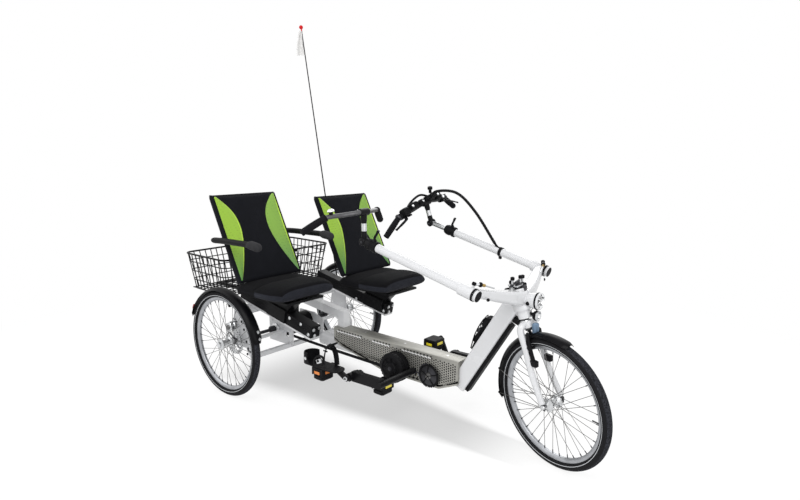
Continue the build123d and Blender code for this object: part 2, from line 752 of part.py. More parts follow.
# cranks, pedals and their carriers
crank_rows = (("right", right_crank, right_crank_angle), ("left", left_crank, left_crank_angle))
for name, centre, angle in crank_rows:
    x, y, z = centre
    side = -1 if name == "right" else 1
    reach_x = x + carrier_reach
    end_y = y + side * carrier_width
    arm = rod((reach_x, 0, carrier_z), (reach_x, end_y, carrier_z), carrier_radius)
    arm += bar((x, y, z), (reach_x, y, carrier_z), carrier_height, carrier_width)
    arm += disc(x, z, shell_radius, y - shell_half, y + shell_half)
    arm -= disc(x, z, shell_radius / 2 + fit, y - shell_half * 2, y + shell_half * 2)
    arm -= nodes["main_beam"]
    nodes["crank_carrier_" + name] = arm
    nodes["deck_cover"] -= rod((reach_x, 0, carrier_z), (reach_x, end_y, carrier_z), carrier_radius)
    outer = shell_half + crank_gap + crank_thick
    spindle = disc(x, z, shell_radius / 2, y - outer, y + outer)
    turn = radians(angle)
    pieces = spindle
    for across, sign in ((1, 1), (-1, -1)):
        tip = (x + sign * crank_radius * cos(turn), z + sign * crank_radius * sin(turn))
        mid = y + across * (outer - crank_thick / 2)
        pieces += bar((x, mid, z), (tip[0], mid, tip[1]), crank_width, crank_thick)
        pieces += disc(x, z, crank_width / 2 + wall, mid - crank_thick / 2, mid + crank_thick / 2)
        pieces += disc(tip[0], tip[1], crank_width / 2, mid - crank_thick / 2, mid + crank_thick / 2)
        pin_end = y + across * (outer + pedal_width)
        pieces += disc(tip[0], tip[1], pedal_pin_radius, mid, pin_end)
        body_low = y + across * (outer + crank_gap)
        body_high = y + across * (outer + crank_gap + pedal_width)
        body = block((tip[0] - pedal_length / 2, min(body_low, body_high), tip[1] - pedal_under),
                     (tip[0] + pedal_length / 2, max(body_low, body_high), tip[1] + pedal_over))
        body -= disc(tip[0], tip[1], pedal_pin_radius + fit, body_low, pin_end)
        place = "inner" if across != side else "outer"
        key = "pedal_" + name + "_" + place
        if key == "pedal_right_outer":
            low_y, high_y = min(body_low, body_high), max(body_low, body_high)
            top_z = tip[1] + pedal_over
            body += block((tip[0] - shell_back, low_y, top_z),
                          (tip[0] + shell_ahead, high_y, top_z + sole_thick))
            heel = block((tip[0] - shell_back, low_y, top_z),
                         (tip[0] - shell_back + heel_length, high_y, top_z + heel_height))
            heel -= block((tip[0] - shell_back + strap_thick, low_y + strap_thick, top_z),
                          (tip[0] + shell_ahead, high_y - strap_thick, top_z + heel_height * 2))
            strap_x = tip[0] + pedal_length / 2
            hoop = block((strap_x, low_y, top_z), (strap_x + strap_width, high_y, top_z + strap_height))
            hoop -= block((strap_x, low_y + strap_thick, top_z),
                          (strap_x + strap_width, high_y - strap_thick, top_z + strap_height - strap_thick))
            body += heel + hoop
        nodes[key] = body
    nodes["crankset_" + name] = pieces

# drive discs beside the beam
wheels = [disc(x, beam_z + lift, radius, -deck_half - thick, -deck_half)
          for x, lift, radius, thick in disc_rows]
nodes["drive_discs"] = wheels[0] + wheels[1]
tube = None
for a, b in zip(chain_tube_points, chain_tube_points[1:]):
    piece = rod(a, b, chain_tube_radius)
    tube = piece if tube is None else tube + piece
tube += Pos(*chain_tube_points[1]) * Sphere(chain_tube_radius)
nodes["chain_tube"] = tube - nodes["main_beam"] - nodes["drive_discs"] - nodes["deck_cover"] \
    - nodes["gear_housing"] - nodes["crank_carrier_right"]

# cable cover and lock on the down tube
tube_dir = vec(down_tube_low, down_tube_high).normalized()
tube_side = Vector(tube_dir.Z, 0, -tube_dir.X)


def on_tube(share, off):
    """Point along the down tube, off its middle line to the front."""
    point = along(down_tube_low, down_tube_high, share)
    return (point[0] + tube_side.X * off, 0, point[2] + tube_side.Z * off)


cover_off = (down_tube_depth + cable_cover_depth) / 2
lock_off = -(down_tube_depth + lock_depth) / 2
for name, shares, off, depth, width in (
        ("cable_cover", cable_cover_shares, cover_off, cable_cover_depth, cable_cover_width),
        ("lock_holder", lock_shares, lock_off, lock_depth, lock_width)):
    nodes[name] = bar(on_tube(shares[0], off), on_tube(shares[1], off), depth, width) - nodes["down_tube"]

# lamps on the yoke and the head tube
lamp = Pos(lamp_front[0] - lamp_depth / 2, 0, lamp_front[2]) * Rot(0, 90, 0) \
    * Cone(lamp_back_radius, lamp_radius, lamp_depth)
nodes["headlamp"] = lamp - nodes["steering_yoke"] - nodes["head_tube"]
low_back_x = low_lamp_front[0] - low_lamp_depth
low_lamp = Pos(low_lamp_front[0] - low_lamp_depth / 2, 0, low_lamp_front[2]) * Rot(0, 90, 0) \
    * Cylinder(low_lamp_radius, low_lamp_depth)
low_lamp += block((head_low[0], -lamp_bracket / 2, low_lamp_front[2] - gap),
                  (low_back_x, lamp_bracket / 2, low_lamp_front[2] + lamp_bracket - gap))
nodes["lower_lamp"] = low_lamp - head_solid - nodes["headlamp"]

# fork and what turns with it, built straight ahead and then turned
hub = (wheelbase, 0, tyre_radius)
steerer_top = on_head(head_high_z + steerer_rise)
fork = rod(head_point, steerer_top, steerer_radius)
crown_low = on_head(head_low_z - gap - crown_height)
fork += rod(crown_low, on_head(head_low_z - gap), crown_radius)
bar_z = crown_low[2] + crown_bar_radius
fork += disc(on_head(bar_z)[0], bar_z, crown_bar_radius, -leg_y, leg_y)
for side in (-1, 1):
    fork += Pos(on_head(bar_z)[0], side * leg_y, bar_z) * Sphere(crown_bar_radius)
for side in (-1, 1):
    start = (on_head(bar_z)[0], side * leg_y, bar_z)
    mid_pt = on_head(head_point[2] + (hub[2] - head_point[2]) * leg_bend_share)
    mid_pt = (mid_pt[0], side * leg_y, mid_pt[2])
    fork += rod(start, mid_pt, leg_radius)
    fork += Pos(*mid_pt) * Sphere(leg_radius)
    fork += rod(mid_pt, (hub[0], side * dropout_y, hub[2]), leg_radius)
fork += rod((hub[0], -dropout_y, hub[2]), (hub[0], dropout_y, hub[2]), axle_radius)
fork += rod(on_head(head_high_z + gap), steerer_top, steerer_cap_radius)
front_guard = Pos(*hub) * guard(front_guard_low_angle, front_guard_high_angle)
bridge = rod(crown_low, on_head(head_point[2] - bridge_drop), bar_radius)
bridge -= Pos(*hub) * disc(0, 0, tyre_radius + guard_gap, -guard_half, guard_half)
front_guard += bridge
front_guard -= fork
brake = None
for side in (-1, 1):
    rim_at = on_head(head_point[2] - brake_drop)
    piece = block((rim_at[0] - leg_size, side * leg_y - gap, rim_at[2] - brake_height_down),
                  (rim_at[0], side * leg_y + gap, rim_at[2] + brake_height_up))
    brake = piece if brake is None else brake + piece
brake -= fork
turn_axis = Axis(head_point, tuple(up))
steer = {
    "fork": fork, "front_mudguard": front_guard, "front_brake": brake,
    "front_tyre": Pos(*hub) * tyre(),
    "front_rim": Pos(*hub) * wheel(front_hub_half, axle_radius + fit),
}
for name, solid in steer.items():
    nodes[name] = solid.rotate(turn_axis, steer_angle)

# rear wheels with their shafts
rear_rim = wheel(front_hub_half, 0)
for name, side in (("right", -1), ("left", 1)):
    y = side * side_half
    nodes["rear_tyre_" + name] = Pos(0, y, tyre_radius) * tyre()
    rim_part = Pos(0, y, tyre_radius) * rear_rim
    hub_end = side * (side_half - front_hub_half)
    shaft = disc(0, tyre_radius, shaft_radius, side * (housing_half / 2 + gap), hub_end)
    edge = side * (brake_disc_y + brake_disc_thick / 2)
    shaft += disc(0, tyre_radius, brake_disc_radius, edge, edge - side * brake_disc_thick)
    shaft += disc(0, tyre_radius, hub_radius, edge, hub_end)
    nodes["rear_rim_" + name] = rim_part
    nodes["axle_shaft_" + name] = shaft

# turn the driver's handlebar as far as the wheel is turned
column_axis = Axis(on_column(column_y, 0), tuple(column_dir))
for name in ("column_tube_left", "stem_left", "handlebar_left", "controls_left", "harness"):
    nodes[name] = nodes[name].rotate(column_axis, steer_angle * column_ratio)

# move everything so that the origin is under the middle
boxes = [solid.bounding_box() for solid in nodes.values()]
low = [min(getattr(box.min, axis) for box in boxes) for axis in "XYZ"]
high = [max(getattr(box.max, axis) for box in boxes) for axis in "XYZ"]
shift = Pos(-(low[0] + high[0]) / 2, -(low[1] + high[1]) / 2, -low[2])
os.makedirs("parts", exist_ok=True)
for name, solid in nodes.items():
    moved = shift * solid
    moved.label = name
    export_step(moved, os.path.join("parts", name + ".step"))
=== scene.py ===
"""Looks of a side by side tandem tricycle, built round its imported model.

Lengths are in metres. Places are given from the point on the ground under the
middle of the rear axle: X forward, Y to the riders' left, Z up.
"""
import json
from math import cos, pi, radians, sin, tau

import bmesh
import bpy
from mathutils import Matrix, Vector


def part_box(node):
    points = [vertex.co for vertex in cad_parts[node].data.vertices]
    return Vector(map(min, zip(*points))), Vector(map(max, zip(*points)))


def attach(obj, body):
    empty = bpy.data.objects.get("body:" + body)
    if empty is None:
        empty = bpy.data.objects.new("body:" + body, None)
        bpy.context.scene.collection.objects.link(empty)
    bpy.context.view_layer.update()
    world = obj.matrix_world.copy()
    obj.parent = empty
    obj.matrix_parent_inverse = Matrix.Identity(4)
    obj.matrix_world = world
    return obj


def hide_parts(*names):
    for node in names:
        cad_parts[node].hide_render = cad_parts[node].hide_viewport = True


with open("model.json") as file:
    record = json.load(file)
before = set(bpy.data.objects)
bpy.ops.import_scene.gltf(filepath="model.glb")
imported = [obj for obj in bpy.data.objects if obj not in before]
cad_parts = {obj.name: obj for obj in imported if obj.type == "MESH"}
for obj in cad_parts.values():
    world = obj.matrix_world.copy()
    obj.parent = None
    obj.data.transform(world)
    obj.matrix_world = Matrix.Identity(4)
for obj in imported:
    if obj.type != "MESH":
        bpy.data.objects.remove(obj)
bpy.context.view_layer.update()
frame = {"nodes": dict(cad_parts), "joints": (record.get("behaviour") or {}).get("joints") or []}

# the photograph's size in pixels and its camera
PHOTO_WIDTH, PHOTO_HEIGHT = 800, 500
FOCAL_PIXELS = 603.7
CENTRE_U, CENTRE_V = 393.6, 262.0
CAMERA_PLACE = (2.786, -2.322, 1.416)
CAMERA_AZIMUTH, CAMERA_ELEVATION, CAMERA_ROLL = 40.3, 11.45, 0.36
SENSOR_WIDTH = 36

# wheels
TYRE_RADIUS = 0.3003
TYRE_HALF = 0.0235
RIM_RADIUS = 0.262
RIM_INNER = 0.243
RIM_HALF = 0.0125
GUARD_OUTER = 0.3165
GUARD_HALF = 0.032
RIM_STEPS = 144
SPOKES = 36
SPOKE_RADIUS, NIPPLE_RADIUS = 0.00125, 0.0025
# where the spokes leave the hub: radius, degrees ahead of their rim end, distance from the middle
FLANGE_RADIUS, SPOKE_LEAD, FLANGE_SIDE = 0.026, 57.2, 0.028

# steering as it stands in the photograph
STEER_ANGLE = -16.5
COLUMN_ANGLE = 12.375

# middle of the rear axle on the ground
right_low, right_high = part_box("rear_tyre_right")
left_low, left_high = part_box("rear_tyre_left")
AXLE_X = (right_low.x + right_high.x) / 2
MIDDLE_Y = (right_low.y + left_high.y) / 2
TRACK_HALF = (left_low.y + left_high.y - right_low.y - right_high.y) / 4


def vec(x, y, z):
    """Vector of three lengths."""
    return Vector((x, y, z))


def at(x, y, z):
    """Point given from the ground under the rear axle."""
    return vec(AXLE_X + x, MIDDLE_Y + y, z)


def heading(turn):
    """Direction across the vehicle's side, at an angle above forward."""
    return vec(cos(turn), 0, sin(turn))


def around(radius, turn, y=0):
    """Point at a radius and an angle about the Y axis."""
    return vec(radius * cos(turn), y, radius * sin(turn))


def turns(count, start=0):
    """Angles evenly round a circle."""
    return [tau * n / count + start for n in range(count)]


def spun(angle, axis="Y"):
    """Turn about one of the main axes."""
    return Matrix.Rotation(angle, 3, axis)


def mid(a, b, share):
    """Point at a share of the way from a to b."""
    return a.lerp(b, share)


joints = {joint["name"]: joint for joint in frame["joints"]}


def turned(joint, angle):
    """Matrix that turns a piece about a joint's axis."""
    place = Vector(joints[joint]["pos_m"])
    spin = Matrix.Rotation(radians(angle), 4, Vector(joints[joint]["axis"]))
    return Matrix.Translation(place) @ spin @ Matrix.Translation(-place)


def wheel_place(joint):
    """Matrix that puts a wheel built about the Y axis on its own axle."""
    axis = Vector(joints[joint]["axis"])
    turn = vec(0, 1, 0).rotation_difference(axis).to_matrix().to_4x4()
    return Matrix.Translation(Vector(joints[joint]["pos_m"])) @ turn


STEERED = turned("steering_turn", STEER_ANGLE)
COLUMN_TURNED = turned("column_left_turn", COLUMN_ANGLE)
NONE = Matrix.Identity(4)


# materials: heights between which the net of the seat backs gets paler; its darker lower part is painted
# shade
NET_LOW, NET_HIGH = 0.7, 1.05


class Nodes:
    """Short way to lay out one material's nodes."""

    def __init__(self, name):
        self.material = bpy.data.materials.new(name)
        self.material.use_nodes = True
        self.tree = self.material.node_tree
        self.shader = self.tree.nodes["Principled BSDF"]
        self.coords = self.add("ShaderNodeTexCoord").outputs["Object"]

    def add(self, kind, **settings):
        """New node with its settings."""
        node = self.tree.nodes.new(kind)
        for key, value in settings.items():
            setattr(node, key, value)
        return node

    def link(self, source, target):
        """Join an output to an input."""
        self.tree.links.new(source, target)

    def noise(self, scale, detail=3.0, stretch=None):
        """Cloudy pattern."""
        node = self.add("ShaderNodeTexNoise")
        node.inputs["Scale"].default_value = scale
        node.inputs["Detail"].default_value = detail
        self.link(self.stretched(stretch), node.inputs["Vector"])
        return node.outputs["Fac"]

    def stretched(self, stretch):
        """Coordinates, stretched if asked."""
        if stretch is None:
            return self.coords
        mapping = self.add("ShaderNodeMapping")
        mapping.inputs["Scale"].default_value = stretch
        self.link(self.coords, mapping.inputs["Vector"])
        return mapping.outputs["Vector"]

    def wave(self, scale, direction, distort=0.0):
        """Even bands."""
        node = self.add("ShaderNodeTexWave", bands_direction=direction)
        node.inputs["Scale"].default_value = scale
        node.inputs["Distortion"].default_value = distort
        self.link(self.coords, node.inputs["Vector"])
        return node.outputs["Fac"]

    def cells(self, scale):
        """Distance to the nearest point of a near even grid."""
        node = self.add("ShaderNodeTexVoronoi")
        node.inputs["Scale"].default_value = scale
        node.inputs["Randomness"].default_value = 0.15
        self.link(self.coords, node.inputs["Vector"])
        return node.outputs["Distance"]

    def ramp(self, source, stops):
        """Colours between places from 0 to 1."""
        node = self.add("ShaderNodeValToRGB")
        while len(node.color_ramp.elements) < len(stops):
            node.color_ramp.elements.new(0.5)
        for element, (place, colour) in zip(node.color_ramp.elements, stops):
            element.position = place
            element.color = (*colour, 1)
        self.link(source, node.inputs["Fac"])
        return node.outputs["Color"]

    def math(self, operation, a, b):
        """Sum of one or two values or outputs."""
        node = self.add("ShaderNodeMath", operation=operation)
        for socket, value in zip(node.inputs, (a, b)):
            if isinstance(value, (int, float)):
                socket.default_value = value
            else:
                self.link(value, socket)
        return node.outputs["Value"]

    def spread(self, source, low, high):
        """Value from 0 to 1 spread between two others."""
        node = self.add("ShaderNodeMapRange")
        node.inputs["To Min"].default_value = low
        node.inputs["To Max"].default_value = high
        self.link(source, node.inputs["Value"])
        return node.outputs["Result"]

    def bump(self, height, distance, strength=0.6):
        """Fine relief of the surface."""
        node = self.add("ShaderNodeBump")
        node.inputs["Distance"].default_value = distance
        node.inputs["Strength"].default_value = strength
        self.link(height, node.inputs["Height"])
        self.link(node.outputs["Normal"], self.shader.inputs["Normal"])

    def socket(self, **values):
        """Set inputs of the shader by their names."""
        for key, value in values.items():
            self.shader.inputs[key.replace("_", " ")].default_value = value


def shade(colour, factor):
    """Lighter or darker tone of a colour."""
    return tuple(min(1.0, c * factor) for c in colour)


def finish_material(name, colour, rough, metal=0.0, coat=0.0, vary=0.12, grain=60.0, pores=900.0,
        depth=0.0001, stretch=None, specular=0.5):
    """Paint, metal, rubber or moulded plastic with mottling, grain and uneven gloss."""
    n = Nodes(name)
    cloud = n.noise(grain, stretch=stretch)
    n.link(n.ramp(cloud, ((0.3, shade(colour, 1 - vary)), (0.7, shade(colour, 1 + vary)))),
           n.shader.inputs["Base Color"])
    n.link(n.spread(cloud, rough * 0.8, rough * 1.2), n.shader.inputs["Roughness"])
    n.bump(n.noise(pores, stretch=stretch), depth)
    n.socket(Metallic=metal, Coat_Weight=coat, Coat_Roughness=0.05, Specular_IOR_Level=specular)
    return n.material


def fabric_material(name, colour, thread, weave, sheen):
    """Woven cloth with crossing threads."""
    n = Nodes(name)
    cross = n.math("MULTIPLY", n.wave(weave, "DIAGONAL"), n.wave(weave, "Y"))
    cloud = n.noise(14.0)
    mixed = n.math("ADD", n.math("MULTIPLY", cross, 0.55), n.math("MULTIPLY", cloud, 0.45))
    n.link(n.ramp(mixed, ((0.2, colour), (0.8, thread))), n.shader.inputs["Base Color"])
    n.link(n.spread(cloud, 0.75, 0.95), n.shader.inputs["Roughness"])
    n.bump(cross, 0.0004, 0.7)
    n.socket(Sheen_Weight=sheen, Sheen_Roughness=0.5, Specular_IOR_Level=0.08)
    return n.material


def net_material(name, colours, painted_hole_shade, cell, stripe):
    """Open spacer mesh: rows of small dark eyes with light threads, paler towards the top; the dark eyes are
    painted shade in its holes and the darker lower part is painted shade.
    """
    n = Nodes(name)
    eyes = n.cells(cell)
    rows = n.wave(stripe, "DIAGONAL", 0.4)
    tone = n.math("ADD", n.math("MULTIPLY", eyes, 0.85), n.math("MULTIPLY", rows, 0.15))
    split = n.add("ShaderNodeSeparateXYZ")
    n.link(n.coords, split.inputs["Vector"])
    height = n.add("ShaderNodeMapRange")
    height.inputs["From Min"].default_value = NET_LOW
    height.inputs["From Max"].default_value = NET_HIGH
    n.link(split.outputs["Z"], height.inputs["Value"])
    # painted shade: the threads darken from the top of the back down to its foot
    thread = n.ramp(height.outputs["Result"], ((0.0, colours[0]), (0.55, colours[1])))
    mix = n.add("ShaderNodeMix", data_type="RGBA")
    n.link(n.spread(n.math("GREATER_THAN", tone, 0.2), 0.0, 1.0), mix.inputs["Factor"])
    # painted shade: the eyes take a dark colour that stands in for the shade in the mesh holes
    mix.inputs["A"].default_value = (*painted_hole_shade, 1)
    n.link(thread, mix.inputs["B"])
    n.link(mix.outputs["Result"], n.shader.inputs["Base Color"])
    n.bump(tone, 0.0008, 0.6)
    n.socket(Roughness=0.7, Sheen_Weight=0.15, Specular_IOR_Level=0.25)
    return n.material


def lens_material(name, colour, rough, transmission):
    """Clear or tinted moulded lens with fine flutes."""
    n = Nodes(name)
    n.link(n.ramp(n.noise(40.0), ((0.3, shade(colour, 0.92)), (0.7, colour))),
           n.shader.inputs["Base Color"])
    n.bump(n.wave(180.0, "Y"), 0.0004, 0.5)
    n.socket(Roughness=rough, Transmission_Weight=transmission, IOR=1.49, Coat_Weight=0.5)
    return n.material


WHITE = finish_material("white_paint", (0.75, 0.756, 0.772), 0.26, coat=0.4, vary=0.02, grain=9.0,
        pores=260.0, depth=0.00006)
BLACK = finish_material("black_paint", (0.007, 0.007, 0.008), 0.36, vary=0.25, depth=0.00008, specular=0.11)
PLASTIC = finish_material("black_plastic", (0.006, 0.006, 0.007), 0.48, vary=0.25, pores=1500.0,
        specular=0.1)
GUARD = finish_material("guard_plastic", (0.004, 0.004, 0.005), 0.32, vary=0.2, pores=700.0,
        depth=0.00005, specular=0.09)
RUBBER = finish_material("tyre_rubber", (0.013, 0.013, 0.0145), 0.75, vary=0.6, grain=420.0,
        depth=0.0003, specular=0.1)
GRIP = finish_material("grip_rubber", (0.01, 0.01, 0.012), 0.8, vary=0.2, pores=1800.0, depth=0.0002,
        specular=0.1)
PAD = finish_material("pad_foam", (0.03, 0.03, 0.033), 0.85, vary=0.2, pores=1400.0, depth=0.0002,
        specular=0.2)
SILVER = finish_material("silver_metal", (0.62, 0.63, 0.64), 0.3, metal=1.0, vary=0.1, grain=40.0,
        pores=800.0, stretch=(1, 6, 1))
RIM = finish_material("rim_metal", (0.38, 0.39, 0.41), 0.36, metal=0.8, vary=0.14, grain=18.0, pores=700.0)
SPOKE = finish_material("spoke_steel", (0.15, 0.147, 0.145), 0.28, metal=1.0, vary=0.1, grain=200.0)
DARK_METAL = finish_material("dark_metal", (0.035, 0.035, 0.04), 0.42, metal=0.6, vary=0.25, pores=700.0)
BAR = finish_material("bar_metal", (0.12, 0.12, 0.125), 0.3, metal=0.9, vary=0.15)
BRASS = finish_material("brass", (0.4, 0.27, 0.09), 0.3, metal=1.0, vary=0.15)
DECK = finish_material("deck_metal", (0.37, 0.364, 0.335), 0.42, metal=0.7, vary=0.14, grain=24.0,
        pores=420.0, stretch=(0.3, 3, 1))
TREAD = finish_material("tyre_tread", (0.027, 0.028, 0.034), 0.8, vary=0.9, grain=170.0, depth=0.0004,
        specular=0.12)
CLOTH = fabric_material("seat_fabric", (0.0028, 0.0028, 0.0036), (0.011, 0.011, 0.0135), 420.0, 0.012)
BACK_CLOTH = fabric_material("seat_back_fabric", (0.005, 0.0055, 0.0075), (0.017, 0.018, 0.0235), 420.0,
        0.02)
SIDE_CLOTH = fabric_material("seat_side_fabric", (0.014, 0.015, 0.02), (0.038, 0.041, 0.053), 420.0, 0.05)
NET = net_material("green_mesh", ((0.13, 0.32, 0.075), (0.36, 0.6, 0.06)), (0.04, 0.11, 0.02), 150.0, 26.0)
# two copies of the green mesh: this second one is darker, painted shade for the panel on the riders' left
NET_PAINTED_SHADE = net_material("green_mesh_shaded", ((0.17, 0.36, 0.12), (0.28, 0.5, 0.085)),
        (0.035, 0.1, 0.03), 118.0, 26.0)
PIPING = finish_material("green_piping", (0.5, 0.78, 0.07), 0.6, vary=0.1, pores=900.0)
FLAG = fabric_material("flag_cloth", (0.82, 0.81, 0.8), (0.95, 0.945, 0.935), 500.0, 0.1)
SILVER_WHITE = finish_material("polished_edge", (0.9, 0.9, 0.9), 0.35, metal=0.3, vary=0.04)
REFLECTIVE = finish_material("reflective_band", (0.62, 0.64, 0.66), 0.45, metal=0.2, vary=0.1, grain=200.0)
MIRROR = finish_material("lamp_mirror", (0.86, 0.87, 0.88), 0.12, metal=1.0, vary=0.05, grain=90.0)
RED = lens_material("red_lens", (0.55, 0.012, 0.012), 0.2, 0.25)
BALL = finish_material("ball_paint", (0.7, 0.006, 0.01), 0.4, coat=0.1, vary=0.1, specular=0.2)
YELLOW = lens_material("yellow_lens", (0.95, 0.78, 0.01), 0.3, 0.0)
# darker orange copy of the amber lens, painted shade for the reflector that stands in shadow
AMBER_SHADED = lens_material("amber_lens_shaded", (0.85, 0.24, 0.02), 0.3, 0.0)
GREY_BLUE = finish_material("lamp_body", (0.17, 0.26, 0.38), 0.35, metal=0.3, vary=0.15)


# shapes
class Shape:
    """Faces of one piece, gathered from simple sweeps, each with its material."""

    def __init__(self, place=NONE):
        self.bm = bmesh.new()
        self.materials = []
        self.place = place

    def slot(self, material):
        """Place of a material in the piece, added if new."""
        if material not in self.materials:
            self.materials.append(material)
        return self.materials.index(material)

    def face(self, verts, index):
        """Smooth face, left out where it is there already."""
        try:
            face = self.bm.faces.new(verts)
        except ValueError:
            return
        face.material_index = index
        face.smooth = True

    def skin(self, rings, material, closed=True, caps=True, loop=False, pick=None):
        """Quads between rings of points; pick gives a face's material by its place in the net."""
        index = self.slot(material)
        grid = [[self.bm.verts.new(self.place @ Vector(p)) for p in ring] for ring in rings]
        turns = len(grid) if loop else len(grid) - 1
        steps = len(grid[0]) if closed else len(grid[0]) - 1
        for i in range(turns):
            a, b = grid[i], grid[(i + 1) % len(grid)]
            for j in range(steps):
                k = (j + 1) % len(a)
                use = index if pick is None else self.slot(pick(i, j))
                self.face((a[j], a[k], b[k], b[j]), use)
        if caps and not loop:
            self.face(list(reversed(grid[0])), index if pick is None else self.slot(pick(0, 0)))
            self.face(grid[-1], index if pick is None else self.slot(pick(turns - 1, 0)))

    def lathe(self, centre, axis, profile, material, segments=40, loop=False, pick=None, caps=True):
        """Turn a profile of radius and height about an axis through centre."""
        turn = vec(0, 0, 1).rotation_difference(Vector(axis)).to_matrix()
        rings = []
        for radius, height in profile:
            ring = [centre + turn @ vec(radius * cos(tau * n / segments),
                    radius * sin(tau * n / segments), height) for n in range(segments)]
            rings.append(ring)
        self.skin(rings, material, loop=loop, pick=pick, caps=caps)

    def rod(self, a, b, radius, material, sides=14, chamfer=0.0):
        """Round bar, its ends chamfered if asked."""
        length = (b - a).length
        edge = min(chamfer, length / 3, radius / 2)
        profile = [(radius, 0), (radius, length)] if not edge else \
            [(radius - edge, 0), (radius, edge), (radius, length - edge), (radius - edge, length)]
        self.lathe(a, (b - a).normalized(), profile, material, sides)

    def tube(self, points, radius, material, sides=10, flat=1.0, loop=False):
        """Round or flattened bar along points; radius is one number or one for each point."""
        radii = radius if isinstance(radius, (list, tuple)) else [radius] * len(points)
        count = len(points)
        rings = []
        side = None
        for i, point in enumerate(points):
            after = points[(i + 1) % count] if loop or i + 1 < count else point
            before = points[i - 1] if loop or i else point
            run = (after - before).normalized()
            if side is None:
                side = run.orthogonal().normalized() if abs(run.y) > 0.9 else run.cross(vec(0, 0, 1))
                if side.length < 0.1:
                    side = run.orthogonal()
            side = (side - run * side.dot(run)).normalized()
            up = side.cross(run)
            up = up * flat
            rings.append([point + (side * cos(tau * n / sides) + up * sin(tau * n / sides)) * radii[i]
                    for n in range(sides)])
        self.skin(rings, material, loop=loop)

    def curve(self, points, steps, radius, material, sides=10, flat=1.0):
        """Bar along a curve that passes smoothly through the points."""
        self.tube(smooth_path(points, steps), radius, material, sides, flat)

    def box(self, centre, size, material, turn=None, edge=0.002):
        """Box with softened edges, turned about its centre."""
        turn = Matrix.Identity(3) if turn is None else turn
        hx, hy, hz = (s / 2 for s in size)
        e = min(edge, hx * 0.6, hy * 0.6, hz * 0.6)
        corners = [(hx, hy), (-hx, hy), (-hx, -hy), (hx, -hy)]
        rings = []
        for height, inset in ((-hz, e), (-hz + e, 0), (hz - e, 0), (hz, e)):
            ring = []
            for n, (x, y) in enumerate(corners):
                sx, sy = (1 if x > 0 else -1), (1 if y > 0 else -1)
                x, y = x - sx * inset, y - sy * inset
                cuts = ((x, y - sy * e), (x - sx * e, y))
                for cx, cy in cuts if n % 2 == 0 else reversed(cuts):
                    ring.append(centre + turn @ vec(cx, cy, height))
            rings.append(ring)
        self.skin(rings, material)

    def bolt(self, place, axis, radius, height, material=None):
        """Hexagon head with a domed end."""
        axis = Vector(axis).normalized()
        self.lathe(place, axis, [(radius, 0), (radius, height * 0.7), (radius * 0.8, height)],
                material or SILVER, 6)
        self.lathe(place, axis, [(radius * 1.25, 0), (radius * 1.25, height * 0.2)], material or SILVER, 16)

    def done(self, name, body, slot=None, sharp=35):
        """Make the object and let it ride on its body; with a slot it stands for the node of its name."""
        bmesh.ops.recalc_face_normals(self.bm, faces=self.bm.faces)
        mesh = bpy.data.meshes.new(name)
        self.bm.to_mesh(mesh)
        self.bm.free()
        mesh.set_sharp_from_angle(angle=radians(sharp))
        for material in self.materials:
            mesh.materials.append(material)
        piece = bpy.data.objects.new(name, mesh)
        bpy.context.scene.collection.objects.link(piece)
        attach(piece, body)
        if slot:
            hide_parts(name)
        return piece


def smooth_path(points, steps=8, loop=False):
    """Points of a curve that passes smoothly through the given ones."""
    points = [Vector(p) for p in points]
    count = len(points)
    out = []
    spans = count if loop else count - 1
    for i in range(spans):
        p1, p2 = points[i], points[(i + 1) % count]
        p0 = points[i - 1] if loop or i else p1 * 2 - p2
        p3 = points[(i + 2) % count] if loop or i + 2 < count else p2 * 2 - p1
        for n in range(steps):
            t = n / steps
            out.append(0.5 * (2 * p1 + (p2 - p0) * t + (2 * p0 - 5 * p1 + 4 * p2 - p3) * t ** 2
                    + (3 * p1 - p0 - 3 * p2 + p3) * t ** 3))
    if not loop:
        out.append(points[-1])
    return out


def repaint(material, *names):
    """Give CAD nodes a finish."""
    for name in names:
        mesh = frame["nodes"][name].data
        mesh.materials.clear()
        mesh.materials.append(material)
        for polygon in mesh.polygons:
            polygon.material_index = 0


def repaint_where(name, material, test):
    """Give those faces of a CAD node whose centre passes the test a second finish."""
    mesh = frame["nodes"][name].data
    mesh.materials.append(material)
    last = len(mesh.materials) - 1
    for polygon in mesh.polygons:
        if test(polygon.center):
            polygon.material_index = last


# wheels
TREAD_STEPS = 216
TREAD_HALF = 9


def tyre_angles(step):
    """Angles round the tyre's section from bead to bead, a step in degrees apart."""
    span = 120
    return [radians(-span + step * n) for n in range(2 * span // step + 1)]


def tyre(name, joint, body):
    """Tyre with a chevron tread and a reflective line on each side wall."""
    shape = Shape(wheel_place(joint))
    angles = tyre_angles(6)
    core = TYRE_RADIUS - TYRE_HALF
    middle = len(angles) // 2
    rings = []
    for i in range(TREAD_STEPS):
        turn = tau * i / TREAD_STEPS
        ring = [around(RIM_RADIUS, turn, -RIM_HALF)]
        for j, angle in enumerate(angles):
            off = abs(j - middle)
            groove = off <= TREAD_HALF and (i + 2 * off) % 6 < 2 and off % 4
            radius = core + (TYRE_HALF - (0.0016 if groove else 0)) * cos(angle)
            ring.append((radius * cos(turn), (TYRE_HALF - (0.0012 if groove else 0)) * sin(angle),
                    radius * sin(turn)))
        ring.append(around(RIM_RADIUS, turn, RIM_HALF))
        rings.append(ring)
    last = len(angles)
    stripe = {4, last - 4}
    shape.skin(rings, RUBBER, loop=True, pick=lambda i, j: REFLECTIVE if j in stripe else TREAD
            if abs(j - middle) < 8 else RUBBER)
    return shape.done(name, body, "tyre_rubber", sharp=40)


